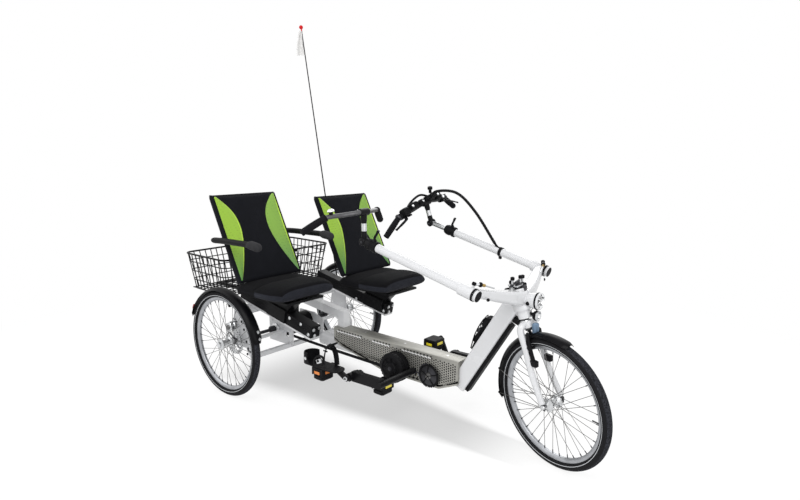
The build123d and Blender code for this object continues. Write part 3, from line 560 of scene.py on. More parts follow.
HUBS = {"front": ((0.008, -0.046), (0.011, -0.044), (0.02, -0.034), (0.03, -0.03), (0.03, -0.026),
        (0.024, -0.022), (0.019, -0.01), (0.018, 0.0), (0.019, 0.01), (0.024, 0.022), (0.03, 0.026),
        (0.03, 0.03), (0.02, 0.034), (0.011, 0.044), (0.008, 0.046)), "rear": ((0.009, -0.046),
        (0.016, -0.045), (0.017, -0.036), (0.03, -0.03), (0.03, -0.026), (0.021, -0.02), (0.017, 0.0),
        (0.021, 0.02), (0.03, 0.026), (0.03, 0.03), (0.017, 0.036), (0.016, 0.045), (0.009, 0.046)),}


def rim(name, joint, body, hub):
    """Hollow box rim, crossing round spokes with nipples, valve and hub."""
    shape = Shape(wheel_place(joint))
    wall = RIM_HALF
    profile = ((RIM_RADIUS + 0.001, wall), (RIM_RADIUS - 0.009, wall), (RIM_RADIUS - 0.011,
            wall - 0.001), (RIM_INNER + 0.002, wall * 0.62), (RIM_INNER, wall * 0.4),
            (RIM_INNER, -wall * 0.4), (RIM_INNER + 0.002, -wall * 0.62), (RIM_RADIUS - 0.011,
            -wall + 0.001), (RIM_RADIUS - 0.009, -wall), (RIM_RADIUS + 0.001, -wall),
            (RIM_RADIUS - 0.006, -wall + 0.003), (RIM_RADIUS - 0.006, wall - 0.003))
    rings = []
    for i in range(RIM_STEPS):
        turn = tau * i / RIM_STEPS
        rings.append([around(r, turn, y) for r, y in profile])
    shape.skin(rings, RIM, loop=True)
    shape.lathe(vec(0, 0, 0), (0, 1, 0), HUBS[hub], SILVER, 36)
    for n in range(SPOKES):
        angle = tau * n / SPOKES
        side = 1 if n % 2 else -1
        foot_angle = angle + radians(SPOKE_LEAD) * (1 if n % 4 < 2 else -1)
        foot = heading(foot_angle) * FLANGE_RADIUS + vec(0, side * FLANGE_SIDE, 0)
        top = heading(angle) * RIM_INNER + vec(0, side * 0.002, 0)
        shape.rod(foot, top, SPOKE_RADIUS, SPOKE, 6)
        shape.rod(mid(foot, top, 0.945), top, NIPPLE_RADIUS, DARK_METAL, 6)
    valve = vec(RIM_INNER, 0, 0.006)
    shape.rod(valve, valve - vec(0.034, 0, 0), 0.003, DARK_METAL, 8)
    return shape.done(name, body, "silver_metal")


def guard_section(radius):
    """Half section of a mudguard as offsets, crowned and with turned-in edges."""
    outer = []
    steps = 9
    for n in range(steps):
        share = -1 + 2 * n / (steps - 1)
        outer.append((radius - 0.014 * abs(share) ** 2.4, GUARD_HALF * share))
    inner = [(r - 0.0022, y * 0.94) for r, y in reversed(outer)]
    return outer + inner


def mudguard(place, low, high, stays=()):
    """Crowned mudguard between two angles above forward, with wire stays to the axle."""
    shape = Shape(place)
    section = guard_section(GUARD_OUTER)
    steps = 56
    rings = []
    for i in range(steps + 1):
        turn = radians(low + (high - low) * i / steps)
        end = 1 - 0.35 * max(0, 1 - min(i, steps - i) / 2)
        rings.append([around(r, turn, y * end) for r, y in section])
    shape.skin(rings, GUARD)
    for angle, foot_y in stays:
        turn = radians(angle)
        for side in (-1, 1):
            foot = around(0.004, turn, side * foot_y)
            tip_r = GUARD_OUTER - 0.017
            tip = around(tip_r, turn, side * (GUARD_HALF + 0.001))
            knee = foot.lerp(tip, 0.1) + vec(0, side * 0.006, 0)
            shape.curve([foot, knee, tip], 5, 0.0016, SPOKE, 6)
            shape.box(tip, (0.014, 0.006, 0.01), PLASTIC)
    return shape


for end_name, side_tail in (("front", ""), ("rear", "_right"), ("rear", "_left")):
    wheel = end_name + "_wheel" + side_tail
    tyre(end_name + "_tyre" + side_tail, wheel + "_spin", wheel)
    rim(end_name + "_rim" + side_tail, wheel + "_spin", wheel, end_name)


def brake_disc(side_name, side):
    """Axle shaft with a drilled brake rotor on its spider."""
    shape = Shape(wheel_place("rear_wheel_%s_spin" % side_name))
    reach = -side
    disc_y = reach * (TRACK_HALF - 0.42)
    shape.rod(vec(0, reach * (TRACK_HALF - 0.054), 0), vec(0, reach * 0.046, 0), 0.0099, DARK_METAL, 24)
    shape.rod(vec(0, disc_y - 0.004, 0), vec(0, reach * 0.046, 0), 0.0168, SILVER, 28, 0.002)
    for off, radius in ((0.05, 0.022), (0.075, 0.019), (0.16, 0.014), (0.2, 0.02), (0.214, 0.024)):
        shape.rod(vec(0, reach * off, 0), vec(0, reach * (off + 0.012), 0), radius,
                DARK_METAL if off < 0.06 or off > 0.18 else SILVER, 24, 0.002)
    count = 90
    radii = (0.058, 0.0635, 0.0675, 0.0715, 0.0755, 0.0795)
    index = shape.slot(SILVER)
    for n in range(count):
        for m in range(len(radii) - 1):
            corners = []
            for dy in (-0.0011, 0.0011):
                for r, k in ((radii[m], n), (radii[m + 1], n), (radii[m + 1], n + 1), (radii[m], n + 1)):
                    wave = 0.0012 * cos(tau * k * 12 / count) if r in (radii[0], radii[-1]) else 0
                    corners.append(vec((r + wave) * cos(tau * k / count), disc_y + dy,
                            (r + wave) * sin(tau * k / count)))
            verts = [shape.bm.verts.new(shape.place @ c) for c in corners]
            for quad in ((0, 1, 2, 3), (7, 6, 5, 4), (0, 4, 5, 1), (1, 5, 6, 2), (2, 6, 7, 3),
                    (3, 7, 4, 0)):
                shape.face([verts[q] for q in quad], index)
    for turn in turns(6):
        foot = around(0.015, turn, disc_y)
        tip = around(0.06, turn + 0.35, disc_y)
        shape.tube([foot, tip], [0.008, 0.0055], SILVER, 8, 0.35)
    for n in range(36):
        turn = tau * n / 36
        r = (0.063, 0.069, 0.0745)[n % 3]
        hole = around(r, turn, disc_y)
        shape.rod(hole - vec(0, 0.0014, 0), hole + vec(0, 0.0014, 0), 0.0034, PLASTIC, 10)
    return shape.done("axle_shaft_" + side_name, "rear_wheel_" + side_name, "silver_metal")


def rear_guard(side_name, side):
    """Rear mudguard with its arm from the frame plate."""
    shape = mudguard(Matrix.Translation(at(0, side * TRACK_HALF, TYRE_RADIUS)), 12, 160)
    shape.place = NONE
    inner_y = side * (TRACK_HALF - GUARD_HALF)
    foot = at(0, side * 0.388, 0.501)
    bend = at(0, inner_y - side * 0.006, 0.505)
    crown = at(0, inner_y - side * 0.004, 0.602)
    shape.curve([foot, mid(foot, bend, 0.8), bend, mid(bend, crown, 0.3), crown], 5, 0.007, PLASTIC, 10,
            0.6)
    shape.bolt(crown - vec(0, side * 0.003, 0.012), (0, -side, 0), 0.005, 0.004)
    shape.bolt(foot, (0, -side, 0), 0.005, 0.005)
    for angle in (16, 23):
        out = heading(radians(angle))
        shape.bolt(at(0, side * (TRACK_HALF - 0.008), TYRE_RADIUS) + out * (GUARD_OUTER - 0.001), out,
                0.0065, 0.004, SILVER)
    return shape.done("mudguard_" + side_name, "frame", "black_plastic")


def tail_lamps():
    """Red lens in a black housing on each rear mudguard."""
    shape = Shape()
    for side in (-1, 1):
        turn = radians(150)
        outer = GUARD_OUTER - 0.002
        out = heading(turn)
        base = at(0, side * TRACK_HALF, TYRE_RADIUS) + out * outer
        spin = spun(-turn)
        shape.box(base + out * 0.003, (0.008, 0.04, 0.036), PLASTIC, spin, 0.003)
        shape.box(base + out * 0.011, (0.012, 0.034, 0.03), RED, spin, 0.005)
    return shape.done("tail_lamps", "frame", "red_plastic")


def rear_calipers():
    """Disc brake calipers, each on a bracket of the frame plate."""
    shape = Shape()
    for side in (-1, 1):
        turn = radians(112)
        centre = at(0.08 * cos(turn), side * 0.42, TYRE_RADIUS + 0.08 * sin(turn))
        spin = spun(-turn)
        for off in (-1, 1):
            shape.box(centre + vec(0, off * 0.0125, 0), (0.042, 0.011, 0.056), SILVER, spin, 0.004)
            shape.lathe(centre + vec(0, off * 0.018, 0), (0, off, 0), [(0.014, -0.002), (0.014, 0.003),
                    (0.011, 0.006)], SPOKE, 20)
        shape.box(centre + heading(turn) * 0.02, (0.01, 0.034, 0.05), SILVER, spin, 0.003)
        root = at(0.08 * cos(turn), side * 0.391, TYRE_RADIUS + 0.1)
        shape.box(mid(root, centre, 0.5) + vec(0, 0, 0.008), (0.026, 0.036, 0.012), SILVER, None, 0.002)
        for dx in (-0.008, 0.008):
            shape.bolt(root + vec(dx, side * 0.004, 0.012), (0, 0, 1), 0.004, 0.004, DARK_METAL)
    return shape.done("rear_calipers", "frame", "silver_metal")


for side_name, side in (("right", -1), ("left", 1)):
    brake_disc(side_name, side)
    rear_guard(side_name, side)
tail_lamps()
rear_calipers()


# steering head, fork and lamps, built straight ahead and then turned
HEAD_POINT = at(1.585, 0, 0.636)
HEAD_UP = vec(-cos(radians(70)), 0, sin(radians(70)))
HUB = at(1.733, 0, TYRE_RADIUS)


def on_head(z):
    """Point of the steering axis at a height."""
    return HEAD_POINT + HEAD_UP * ((z - HEAD_POINT.z) / HEAD_UP.z)


def fork():
    """White fork with a round crown and tapered legs that sweep to the axle."""
    shape = Shape(STEERED)
    shape.rod(on_head(0.6), on_head(0.8), 0.0145, DARK_METAL, 24)
    shape.lathe(on_head(0.608), HEAD_UP, [(0.022, 0), (0.0285, 0.005), (0.0285, 0.034), (0.025, 0.038)],
            WHITE, 32)
    shape.lathe(on_head(0.6405), HEAD_UP, [(0.0275, 0), (0.0285, 0.002), (0.0275, 0.0045)], SILVER, 32)
    crown = on_head(0.625)
    for side in (-1, 1):
        start = crown + vec(0, side * 0.008, 0.003)
        shoulder = crown + vec(0.001, side * 0.032, -0.001)
        corner = crown + vec(0.004, side * 0.0455, -0.022)
        high = on_head(0.54) + vec(0.003, side * 0.0495, 0)
        low = at(1.668, side * 0.053, 0.42)
        tip = HUB + vec(-0.004, side * 0.06, 0.012)
        path = smooth_path([start, shoulder, corner, high, low, tip], 8)
        radii = [0.0172 - 0.0035 * n / (len(path) - 1) for n in range(len(path))]
        shape.tube(path, radii, WHITE, 16)
        shape.box(HUB + vec(0, side * 0.059, 0), (0.024, 0.006, 0.03), DARK_METAL, None, 0.004)
        shape.lathe(HUB + vec(0, side * 0.058, 0), (0, side, 0), [(0.011, 0), (0.012, 0.004),
                (0.01, 0.009), (0.006, 0.011)], SILVER, 20)
    shape.rod(HUB - vec(0, 0.064, 0), HUB + vec(0, 0.064, 0), 0.0049, SILVER, 16)
    shape.lathe(on_head(0.7825), HEAD_UP, [(0.0235, 0), (0.0235, 0.01), (0.02, 0.018), (0.01, 0.0245)],
            DARK_METAL, 32)
    shape.box(on_head(0.628) + vec(0.046, 0.004, -0.01), (0.022, 0.03, 0.05), GREY_BLUE, None, 0.005)
    shape.tube([on_head(0.625) + vec(0.012, 0, -0.004), on_head(0.625) + vec(0.044, 0.002, -0.016)],
            0.007, PLASTIC, 10)
    return shape.done("fork", "steering", "white_paint")


def front_guard():
    """Front mudguard with its crown bracket and wire stays."""
    shape = mudguard(STEERED @ Matrix.Translation(HUB), 72, 196, stays=((190, 0.058), (166, 0.058)))
    shape.place = STEERED
    shape.curve([on_head(0.602), on_head(0.585) + vec(0.016, 0, 0), HUB + heading(radians(104))
            * 0.3155], 5, 0.009, PLASTIC, 10, 0.4)
    return shape.done("front_mudguard", "steering", "black_plastic")


def rim_brake():
    """Pair of rim brake arms with blocks against the front rim."""
    shape = Shape(STEERED)
    out = (on_head(0.545) - HUB).normalized()
    for side in (-1, 1):
        pivot = on_head(0.548) + vec(0.016, side * 0.046, -0.006)
        top = on_head(0.606) + vec(0.03, side * 0.038, 0)
        pad = HUB + out * 0.2535 + vec(0.0, side * 0.0205, 0)
        shape.curve([pivot - out * 0.03, pivot, top], 5, 0.0075, PLASTIC, 10, 0.7)
        shape.lathe(pivot - vec(0.012, 0, 0), (1, 0, 0), [(0.009, 0), (0.009, 0.024), (0.006, 0.027)],
                DARK_METAL, 18)
        spin = vec(1, 0, 0).rotation_difference(vec(out.z, 0, -out.x)).to_matrix()
        shape.box(pad, (0.058, 0.011, 0.012), PLASTIC, spin, 0.003)
        boss = on_head(0.5) + vec(0.028, side * 0.045, 0)
        if side < 0:
            shape.curve([top, pivot + vec(0.014, 0, 0.004), boss, boss + vec(0.006, 0, -0.012)], 5,
                    [0.007] * 4 + [0.0095] * 12, PLASTIC, 12, 0.7)
        shape.box(boss + vec(0.008, 0, -0.02), (0.038, 0.022, 0.03), PLASTIC, None, 0.004)
        shape.rod(pad, pad + vec(0, side * 0.02, 0), 0.004, SILVER, 12)
        shape.bolt(pad + vec(0, side * 0.02, 0), (0, side, 0), 0.006, 0.004)
    cable = [on_head(0.606) + vec(0.03, -0.038, 0.004), on_head(0.62) + vec(0.036, 0.0, 0.006),
            on_head(0.606) + vec(0.03, 0.038, 0.004)]
    shape.curve(cable, 6, 0.0022, PLASTIC, 8)
    return shape.done("front_brake", "steering", "black_paint")


def headlamp():
    """White lamp shell on the yoke with a black band and a chrome bowl with six ribs."""
    shape = Shape()
    front = at(1.648, 0, 0.738)
    back = vec(-1, 0, 0)
    radius = 0.0378
    shape.lathe(front, back, [(radius - 0.005, 0.0), (radius - 0.001, 0.001), (radius - 0.001, 0.009),
            (radius - 0.005, 0.009)], WHITE, 48, loop=True)
    shape.lathe(front, back, [(radius - 0.005, 0.009), (radius, 0.01), (radius, 0.017),
            (radius - 0.005, 0.018)], PLASTIC, 48, loop=True)
    shape.lathe(front, back, [(radius - 0.001, 0.018), (radius - 0.004, 0.036), (0.029, 0.058),
            (0.0275, 0.065)], WHITE, 48)
    bowl(shape, front, radius - 0.005, SPOKE)
    shape.lathe(at(1.6, -0.028, 0.728), (0.35, -1, 0), [(0.0085, 0), (0.0085, 0.006), (0.0065, 0.008)],
            PLASTIC, 20)
    return shape.done("headlamp", "frame", "lamp_plastic")


def bowl(shape, front, radius, marks):
    """Stepped mirror bowl with a small middle cone, a ring and six ribs."""
    shape.lathe(front, (-1, 0, 0), [(radius, 0.0005), (radius * 0.86, 0.005), (radius * 0.8, 0.009),
            (radius * 0.5, 0.012), (radius * 0.44, 0.016), (radius * 0.05, 0.0175)], MIRROR, 40,
            caps=False)
    shape.lathe(front + vec(-0.017, 0, 0), (1, 0, 0), [(radius * 0.2, 0), (radius * 0.18, 0.008),
            (radius * 0.08, 0.012)], marks, 20)
    shape.lathe(front + vec(-0.011, 0, 0), (1, 0, 0), [(radius * 0.6, 0), (radius * 0.64, 0.0012),
            (radius * 0.68, 0)], marks, 32, loop=True)
    for turn in turns(6, 0.3):
        out = vec(0, cos(turn), sin(turn))
        shape.tube([front + out * radius * 0.3 + vec(-0.012, 0, 0), front + out * radius * 0.88
                + vec(-0.003, 0, 0)], [0.0008, 0.0018], marks, 8, 0.6)


def lower_lamp():
    """Second small lamp with a bright bowl, on its bracket under the first."""
    shape = Shape()
    front = at(1.642, 0, 0.672)
    radius = 0.0238
    shape.lathe(front, (-1, 0, 0), [(radius - 0.003, 0), (radius, 0.001), (radius, 0.005),
            (radius - 0.003, 0.006)], SILVER, 40, loop=True)
    shape.lathe(front, (-1, 0, 0), [(radius - 0.003, 0.006), (radius, 0.007), (radius * 0.92, 0.016),
            (radius * 0.7, 0.024)], PLASTIC, 40, caps=False)
    bowl(shape, front, radius - 0.002, SILVER)
    shape.box(at(1.603, 0, 0.676), (0.04, 0.012, 0.013), PLASTIC, None, 0.002)
    shape.curve([at(1.63, 0.012, 0.688), at(1.61, 0.014, 0.7), at(1.6, 0.01, 0.69),
            at(1.604, 0.008, 0.672)], 6, 0.0016, PLASTIC, 6)
    return shape.done("lower_lamp", "frame", "lamp_plastic")


fork()
front_guard()
rim_brake()
headlamp()
lower_lamp()


# yoke fittings
COLUMN_Y = 0.311
COLUMN_FRONT = (1.512, 0.803)
COLUMN_BACK = (0.986, 0.933)
COLUMN_RUN = vec(COLUMN_FRONT[0] - COLUMN_BACK[0], 0, COLUMN_FRONT[1] - COLUMN_BACK[1])
COLUMN_DIR = COLUMN_RUN.normalized()
COLUMN_UP = vec(-COLUMN_DIR.z, 0, COLUMN_DIR.x)


def on_column(side, back, lift=0.0):
    """Point of a column's axis, measured back from its front end."""
    return at(COLUMN_FRONT[0], side * COLUMN_Y, COLUMN_FRONT[1]) - COLUMN_DIR * back + COLUMN_UP * lift


def ball_joint(shape, seat, across):
    """Ball joint with its black cup, silver rod and brass nut, across the yoke arm."""
    shape.rod(seat, seat + vec(0, 0, 0.016), 0.005, SILVER, 12)
    cup = seat + vec(0, 0, 0.013)
    shape.lathe(cup, vec(0.2, across * 0.3, 1), [(0.007, -0.006), (0.0095, -0.002), (0.0095, 0.006),
            (0.006, 0.009)], PLASTIC, 18)
    knee = cup + vec(0.012, across * 0.02, -0.003)
    end = cup + vec(0.024, across * 0.046, -0.011)
    shape.rod(cup, knee, 0.0055, SILVER, 12)
    shape.rod(knee, mid(knee, end, 0.45), 0.0105, PLASTIC, 14, 0.003)
    shape.rod(mid(knee, end, 0.45), end, 0.0066, BRASS, 6)
    return end


def tie_ends():
    """Ball joints over the sleeves, tie rods into the yoke and the bell crank over the head."""
    shape = Shape()
    for side in (-1, 1):
        seat = on_column(side, 0.02, 0.026) + vec(0, -side * 0.01, 0)
        end = ball_joint(shape, seat, -side)
        shape.lathe(on_column(side, 0.008), COLUMN_DIR, [(0.0265, 0), (0.028, 0.001), (0.028, 0.009),
                (0.0265, 0.01)], PLASTIC, 40, loop=True)
        shape.rod(end, end + vec(0.014, -side * 0.05, -0.018), 0.0035, SILVER, 10)
    head = on_head(0.772)
    shape.tube([head + vec(-0.046, -0.028, -0.006), head + vec(-0.06, 0, -0.008),
            head + vec(-0.046, 0.028, -0.006)], 0.0065, PLASTIC, 12)
    for dx, dy, tall, radius in ((-0.012, -0.032, 0.07, 0.0095), (0.004, 0.008, 0.074, 0.009),
            (0.0, 0.036, 0.07, 0.009), (-0.034, -0.006, 0.046, 0.008), (0.018, 0.026, 0.04, 0.008)):
        foot = head + vec(dx, dy, -0.01)
        shape.rod(foot, foot + vec(0, 0, tall), radius * 0.5, SILVER, 12)
        shape.lathe(foot + vec(0, 0, tall - 0.013), (0, 0, 1), [(radius * 0.9, 0), (radius, 0.004),
                (radius, 0.012), (radius * 0.6, 0.015)], PLASTIC, 18)
        shape.rod(foot + vec(0, 0, tall * 0.36), foot + vec(0, 0, tall * 0.56), radius * 0.95,
                DARK_METAL, 12, 0.002)
    shape.box(head + vec(-0.008, 0, 0.022), (0.05, 0.07, 0.008), SILVER, None, 0.002)
    shape.box(head + vec(-0.004, 0.002, 0.038), (0.014, 0.084, 0.012), DARK_METAL,
            spun(radians(14), "Z"), 0.004)
    shape.box(head + vec(0.024, 0.012, 0.0), (0.022, 0.026, 0.05), DARK_METAL, spun(radians(-12)), 0.004)
    for way in (-1, 1):
        shape.bolt(on_column(way, 0.037, 0) + vec(0.06, -way * 0.062, -0.036), (0.5, way * 0.5, 0),
                0.006, 0.004, PLASTIC)
    return shape.done("tie_ends", "frame")


tie_ends()


# handlebars, each point is along X, Y and Z from the clamp
BARS = {"right": {"clamp": (0.899, -0.311, 1.091), "out": 0.086, "inner": (-0.066, 0.188, -0.014),
        "end": (-0.118, 0.286, -0.074), "twist": 5, "body": "frame"}, "left": {"clamp": (0.8, 0.311,
        1.086), "out": 0.169, "inner": (-0.032, 0.195, -0.033), "end": (-0.048, 0.29, -0.11), "twist": 0,
        "body": "column_left"},}
BAR_RADIUS = 0.011
COLUMN_LENGTH = COLUMN_RUN.length


def grip(shape, inner, end):
    """Ribbed rubber grip with a flared collar at the inner end."""
    run = end - inner
    length = run.length
    profile = [(0.0175, 0), (0.0175, 0.005)]
    ribs = 22
    for n in range(ribs):
        base = 0.006 + (length - 0.012) * n / ribs
        step = (length - 0.012) / ribs
        swell = 0.0152 + 0.0016 * sin(pi * n / ribs)
        profile += [(swell - 0.0008, base), (swell, base + step * 0.3), (swell, base + step * 0.8)]
    profile += [(0.0165, length - 0.005), (0.015, length), (0.004, length + 0.001)]
    shape.lathe(inner, run.normalized(), profile, GRIP, 24)


def bar_frame(row, place):
    """Matrix from the clamp to the row frame."""
    clamp = at(*row["clamp"])
    return place @ Matrix.Translation(clamp) @ Matrix.Rotation(radians(row["twist"]), 4, "Z")


def handlebar(name):
    """Bent bar with two grips, and a bell on the companion's."""
    row = BARS[name]
    place = COLUMN_TURNED if name == "left" else NONE
    shape = Shape(bar_frame(row, place))
    x, y, z = row["inner"]
    ex, ey, ez = row["end"]
    left_in, left_end = vec(x, y, z), vec(ex, ey, ez)
    right_in, right_end = vec(x, -y, z), vec(ex, -ey, ez)
    path = smooth_path([right_end, mid(right_in, right_end, 0.5), right_in, right_in * 0.55,
            vec(0, -0.03, 0), vec(0, 0.03, 0), left_in * 0.55, left_in, mid(left_in, left_end, 0.5),
            left_end], 7)
    shape.tube(path, BAR_RADIUS, BAR if name == "right" else BLACK, 16)
    for inner, end in ((left_in, left_end), (right_in, right_end)):
        grip(shape, mid(inner, end, -0.02), end)
    if name == "right":
        bell = right_in * 0.86 + vec(0, 0, 0.022)
        shape.lathe(bell, (-0.2, 0, 1), [(0.016, 0), (0.017, 0.003), (0.0145, 0.009), (0.008, 0.014),
                (0.002, 0.015)], MIRROR, 24)
        shape.lathe(bell - vec(0, 0, 0.012), (0, 0, 1), [(0.009, 0), (0.009, 0.012)], PLASTIC, 16)
    return shape.done("handlebar_" + name, row["body"], "black_paint")


def stem(name):
    """Stem with its collars, quick release, silver insert, knuckle and bar clamp."""
    row = BARS[name]
    side = -1 if name == "right" else 1
    shape = Shape(COLUMN_TURNED if name == "left" else NONE)
    end = on_column(side, COLUMN_LENGTH)
    knuckle = on_column(side, COLUMN_LENGTH + row["out"])
    clamp = at(*row["clamp"])
    shape.rod(on_column(side, COLUMN_LENGTH - 0.124), knuckle, 0.0129, SILVER, 24)
    collar = [(0.024, 0), (0.027, 0.003), (0.027, 0.014), (0.0245, 0.017), (0.0245, 0.03),
            (0.027, 0.033), (0.027, 0.05), (0.025, 0.053), (0.0225, 0.062), (0.015, 0.064)]
    shape.lathe(end, -COLUMN_DIR, [(r, h + 0.003) for r, h in collar], PLASTIC, 36)
    lever_foot = on_column(side, COLUMN_LENGTH + 0.02, 0.026)
    shape.curve([lever_foot, lever_foot + vec(-0.006, 0, 0.014), lever_foot + vec(0.004, 0.004, 0.034),
            lever_foot + vec(0.012, 0.006, 0.05)], 6, [0.008] * 14 + [0.0095] * 5, PLASTIC, 10, 0.6)
    shape.lathe(on_column(side, COLUMN_LENGTH + 0.028, 0.012), COLUMN_UP,
            [(0.007, 0), (0.007, 0.02), (0.005, 0.022)], DARK_METAL, 16)
    shape.lathe(knuckle - vec(0, 0.021, 0), (0, 1, 0), [(0.014, 0), (0.0175, 0.003), (0.0175, 0.039),
            (0.014, 0.042)], BLACK, 28)
    for way in (-1, 1):
        shape.bolt(knuckle + vec(0, way * 0.021, 0), (0, way, 0), 0.006, 0.004, DARK_METAL)
    rise = clamp - knuckle
    shape.tube([mid(knuckle, clamp, s) for s in (0.0, 0.3, 0.34, 0.66, 0.7, 1.0)],
            [0.0135, 0.0135, 0.0125, 0.0125, 0.0145, 0.0155], BLACK, 22)
    shape.rod(mid(knuckle, clamp, 0.36), mid(knuckle, clamp, 0.62), 0.0128, SILVER, 22)
    across = vec(0, 1, 0)
    shape.lathe(clamp - across * 0.03, across, [(0.014, 0), (0.017, 0.003), (0.017, 0.057),
            (0.014, 0.06)], BLACK, 28)
    front = rise.cross(across).normalized()
    for way in (-1, 1):
        for tall in (-0.01, 0.01):
            shape.bolt(clamp + across * (way * 0.019) + front * 0.015 + rise.normalized() * tall, front,
                    0.0034, 0.005)
    return shape.done("stem_" + name, row["body"], "black_paint")


def lever(shape, mount, across):
    """Brake lever: clamp body, curved blade and its cable stub."""
    tip = mount + vec(0.034, across * 0.096, -0.046)
    body = mount + vec(0.026, across * 0.004, -0.006)
    shape.curve([mount, mid(mount, body, 0.5), body], 5, [0.011] * 11, PLASTIC, 14, 0.8)
    shape.curve([body, body + vec(0.014, across * 0.014, -0.006), mid(body, tip, 0.55)
            + vec(0.009, 0, 0), tip], 7, [0.009] * 8 + [0.0075] * 8 + [0.0065] * 5 + [0.008], PLASTIC,
            12, 0.55)
    stub = body + vec(0.004, -across * 0.012, 0.002)
    shape.rod(stub, stub + vec(0.006, -across * 0.026, 0.004), 0.0045, PLASTIC, 12, 0.001)


def controls():
    """Levers, shifters, display and switch cluster of the driver's handlebar."""
    row = BARS["left"]
    shape = Shape(bar_frame(row, COLUMN_TURNED))
    for across in (-1, 1):
        inner = vec(row["inner"][0], across * row["inner"][1], row["inner"][2])
        end = vec(row["end"][0], across * row["end"][1], row["end"][2])
        run = (end - inner).normalized()
        near, far = inner * 0.72, inner * 0.96
        shape.lathe(near, (far - near).normalized(), [(0.015, 0), (0.019, 0.003), (0.019, 0.014),
                (0.016, 0.017), (0.016, 0.024), (0.0185, 0.027), (0.0185, 0.046), (0.016, 0.05)],
                PLASTIC, 28)
        lever(shape, mid(near, far, 0.55), across)
        dial = inner * 0.66 + vec(0.012, 0, 0.02)
        shape.lathe(dial, (0.3, 0, 1), [(0.017, -0.01), (0.018, -0.004), (0.018, 0.006), (0.014, 0.009),
                (0.004, 0.01)], PLASTIC, 26)
        shape.curve([dial + vec(0, across * 0.012, -0.004), dial + vec(0.012, across * 0.028, 0.004),
                dial + vec(0.008, across * 0.04, 0.002)], 5, 0.0038, DARK_METAL, 8, 0.6)
        collar = inner + run * 0.002
        shape.lathe(collar - run * 0.012, run, [(0.0185, 0), (0.0195, 0.003), (0.0195, 0.01),
                (0.0175, 0.013)], DARK_METAL, 26)
    top = vec(0.022, 0, 0.032)
    tilt = spun(radians(-28))
    shape.box(top, (0.036, 0.056, 0.016), PLASTIC, tilt, 0.004)
    shape.box(top + tilt @ vec(0, 0, 0.0085), (0.028, 0.046, 0.002), GUARD, tilt, 0.001)
    shape.tube([vec(0.0, 0, 0.01), vec(0.014, 0, 0.026)], 0.009, PLASTIC, 12)
    for place, radius in (((0.008, 0.05, 0.016), 0.012), ((0.006, -0.052, 0.014), 0.011)):
        shape.lathe(Vector(place), (0.4, 0, 1), [(radius, -0.012), (radius * 1.1, 0), (radius, 0.008),
                (radius * 0.5, 0.011)], PLASTIC, 20)
    for place, size in (((0.006, 0.03, 0.02), (0.04, 0.05, 0.03)), ((0.0, -0.036, 0.012),
            (0.034, 0.036, 0.03)), ((0.002, 0.096, 0.006), (0.034, 0.044, 0.036)),
            ((-0.004, -0.1, 0.006), (0.046, 0.056, 0.04)), ((-0.012, -0.158, -0.01),
            (0.05, 0.044, 0.044))):
        shape.box(Vector(place), size, PLASTIC, tilt, 0.006)
    for place in ((0.026, -0.05, 0.024), (0.034, 0.064, 0.03), (0.022, -0.13, 0.018), (0.024, 0.118, 0.0)):
        shape.lathe(Vector(place), (0.6, 0.2, 1), [(0.007, 0), (0.008, 0.004), (0.005, 0.007)], SILVER, 16)
    shape.box(vec(0.014, 0.062, 0.03), (0.042, 0.06, 0.028), PLASTIC, tilt, 0.007)
    shape.lathe(vec(0.01, 0.032, 0.046), (0.1, 0, 1), [(0.008, 0), (0.008, 0.018), (0.0135, 0.02),
            (0.0135, 0.032), (0.01, 0.035)], PLASTIC, 20)
    shape.curve([vec(0.02, 0.012, 0.03), vec(0.0, -0.04, 0.052), vec(-0.02, -0.09, 0.03),
            vec(-0.03, -0.13, -0.006)], 8, 0.006, PLASTIC, 10)
    return shape.done("controls_left", "column_left", "black_plastic")


HARNESS_POINTS = ((0.832, 0.318, 1.112), (0.88, 0.318, 1.152), (1.01, 0.322, 1.15), (1.12, 0.318, 1.06),
        (1.23, 0.311, 0.905))


def harness():
    """Cables bound together by a spiral wrap, held to the column by a band."""
    shape = Shape(COLUMN_TURNED)
    path = smooth_path([at(*p) for p in HARNESS_POINTS], 40)
    radii = [0.0068 + 0.0012 * (0.5 + 0.5 * sin(tau * n / 3.2)) for n in range(len(path))]
    shape.tube(path, radii, PLASTIC, 12)
    for off in (-0.006, 0.006):
        start = path[0] + vec(-0.006, off * 2, -0.002)
        shape.curve([start + vec(-0.02, off * 3, -0.012), start, path[6]], 6, 0.0026, PLASTIC, 8)
    band = on_column(1, (at(1.262, COLUMN_Y, 0.865) - on_column(1, 0)).length)
    shape.lathe(band - COLUMN_DIR * 0.008, COLUMN_DIR, [(0.0205, 0), (0.0235, 0.001), (0.0235, 0.015),
            (0.0205, 0.016)], PLASTIC, 30)
    shape.box(band - COLUMN_UP * 0.03, (0.016, 0.012, 0.02), PLASTIC, None, 0.003)
    shape.curve([path[-1], path[-1] + vec(0.016, 0, -0.018), band + COLUMN_UP * 0.02], 6, 0.006, PLASTIC,
            10)
    return shape.done("harness", "column_left", "black_plastic")


for side_name in ("right", "left"):
    handlebar(side_name)
    stem(side_name)
controls()
harness()

# seats: lengths along the rail and in the leaning back
SEAT_Y = 0.295
SEAT_HALF = 0.212
RAIL_DIR = vec(0.592, 0, -0.118).normalized()
FAR_SHIFT = RAIL_DIR * 0.175
BACK_FOOT, BACK_HEAD = (0.206, 0.68), (-0.012, 1.11)
BACK_LEAN = vec(BACK_HEAD[0] - BACK_FOOT[0], 0, BACK_HEAD[1] - BACK_FOOT[1])
BACK_UP = BACK_LEAN.normalized()
BACK_FRONT = vec(BACK_UP.z, 0, -BACK_UP.x)
BACK_THICK = 0.044
TOP_RISE = 0.011


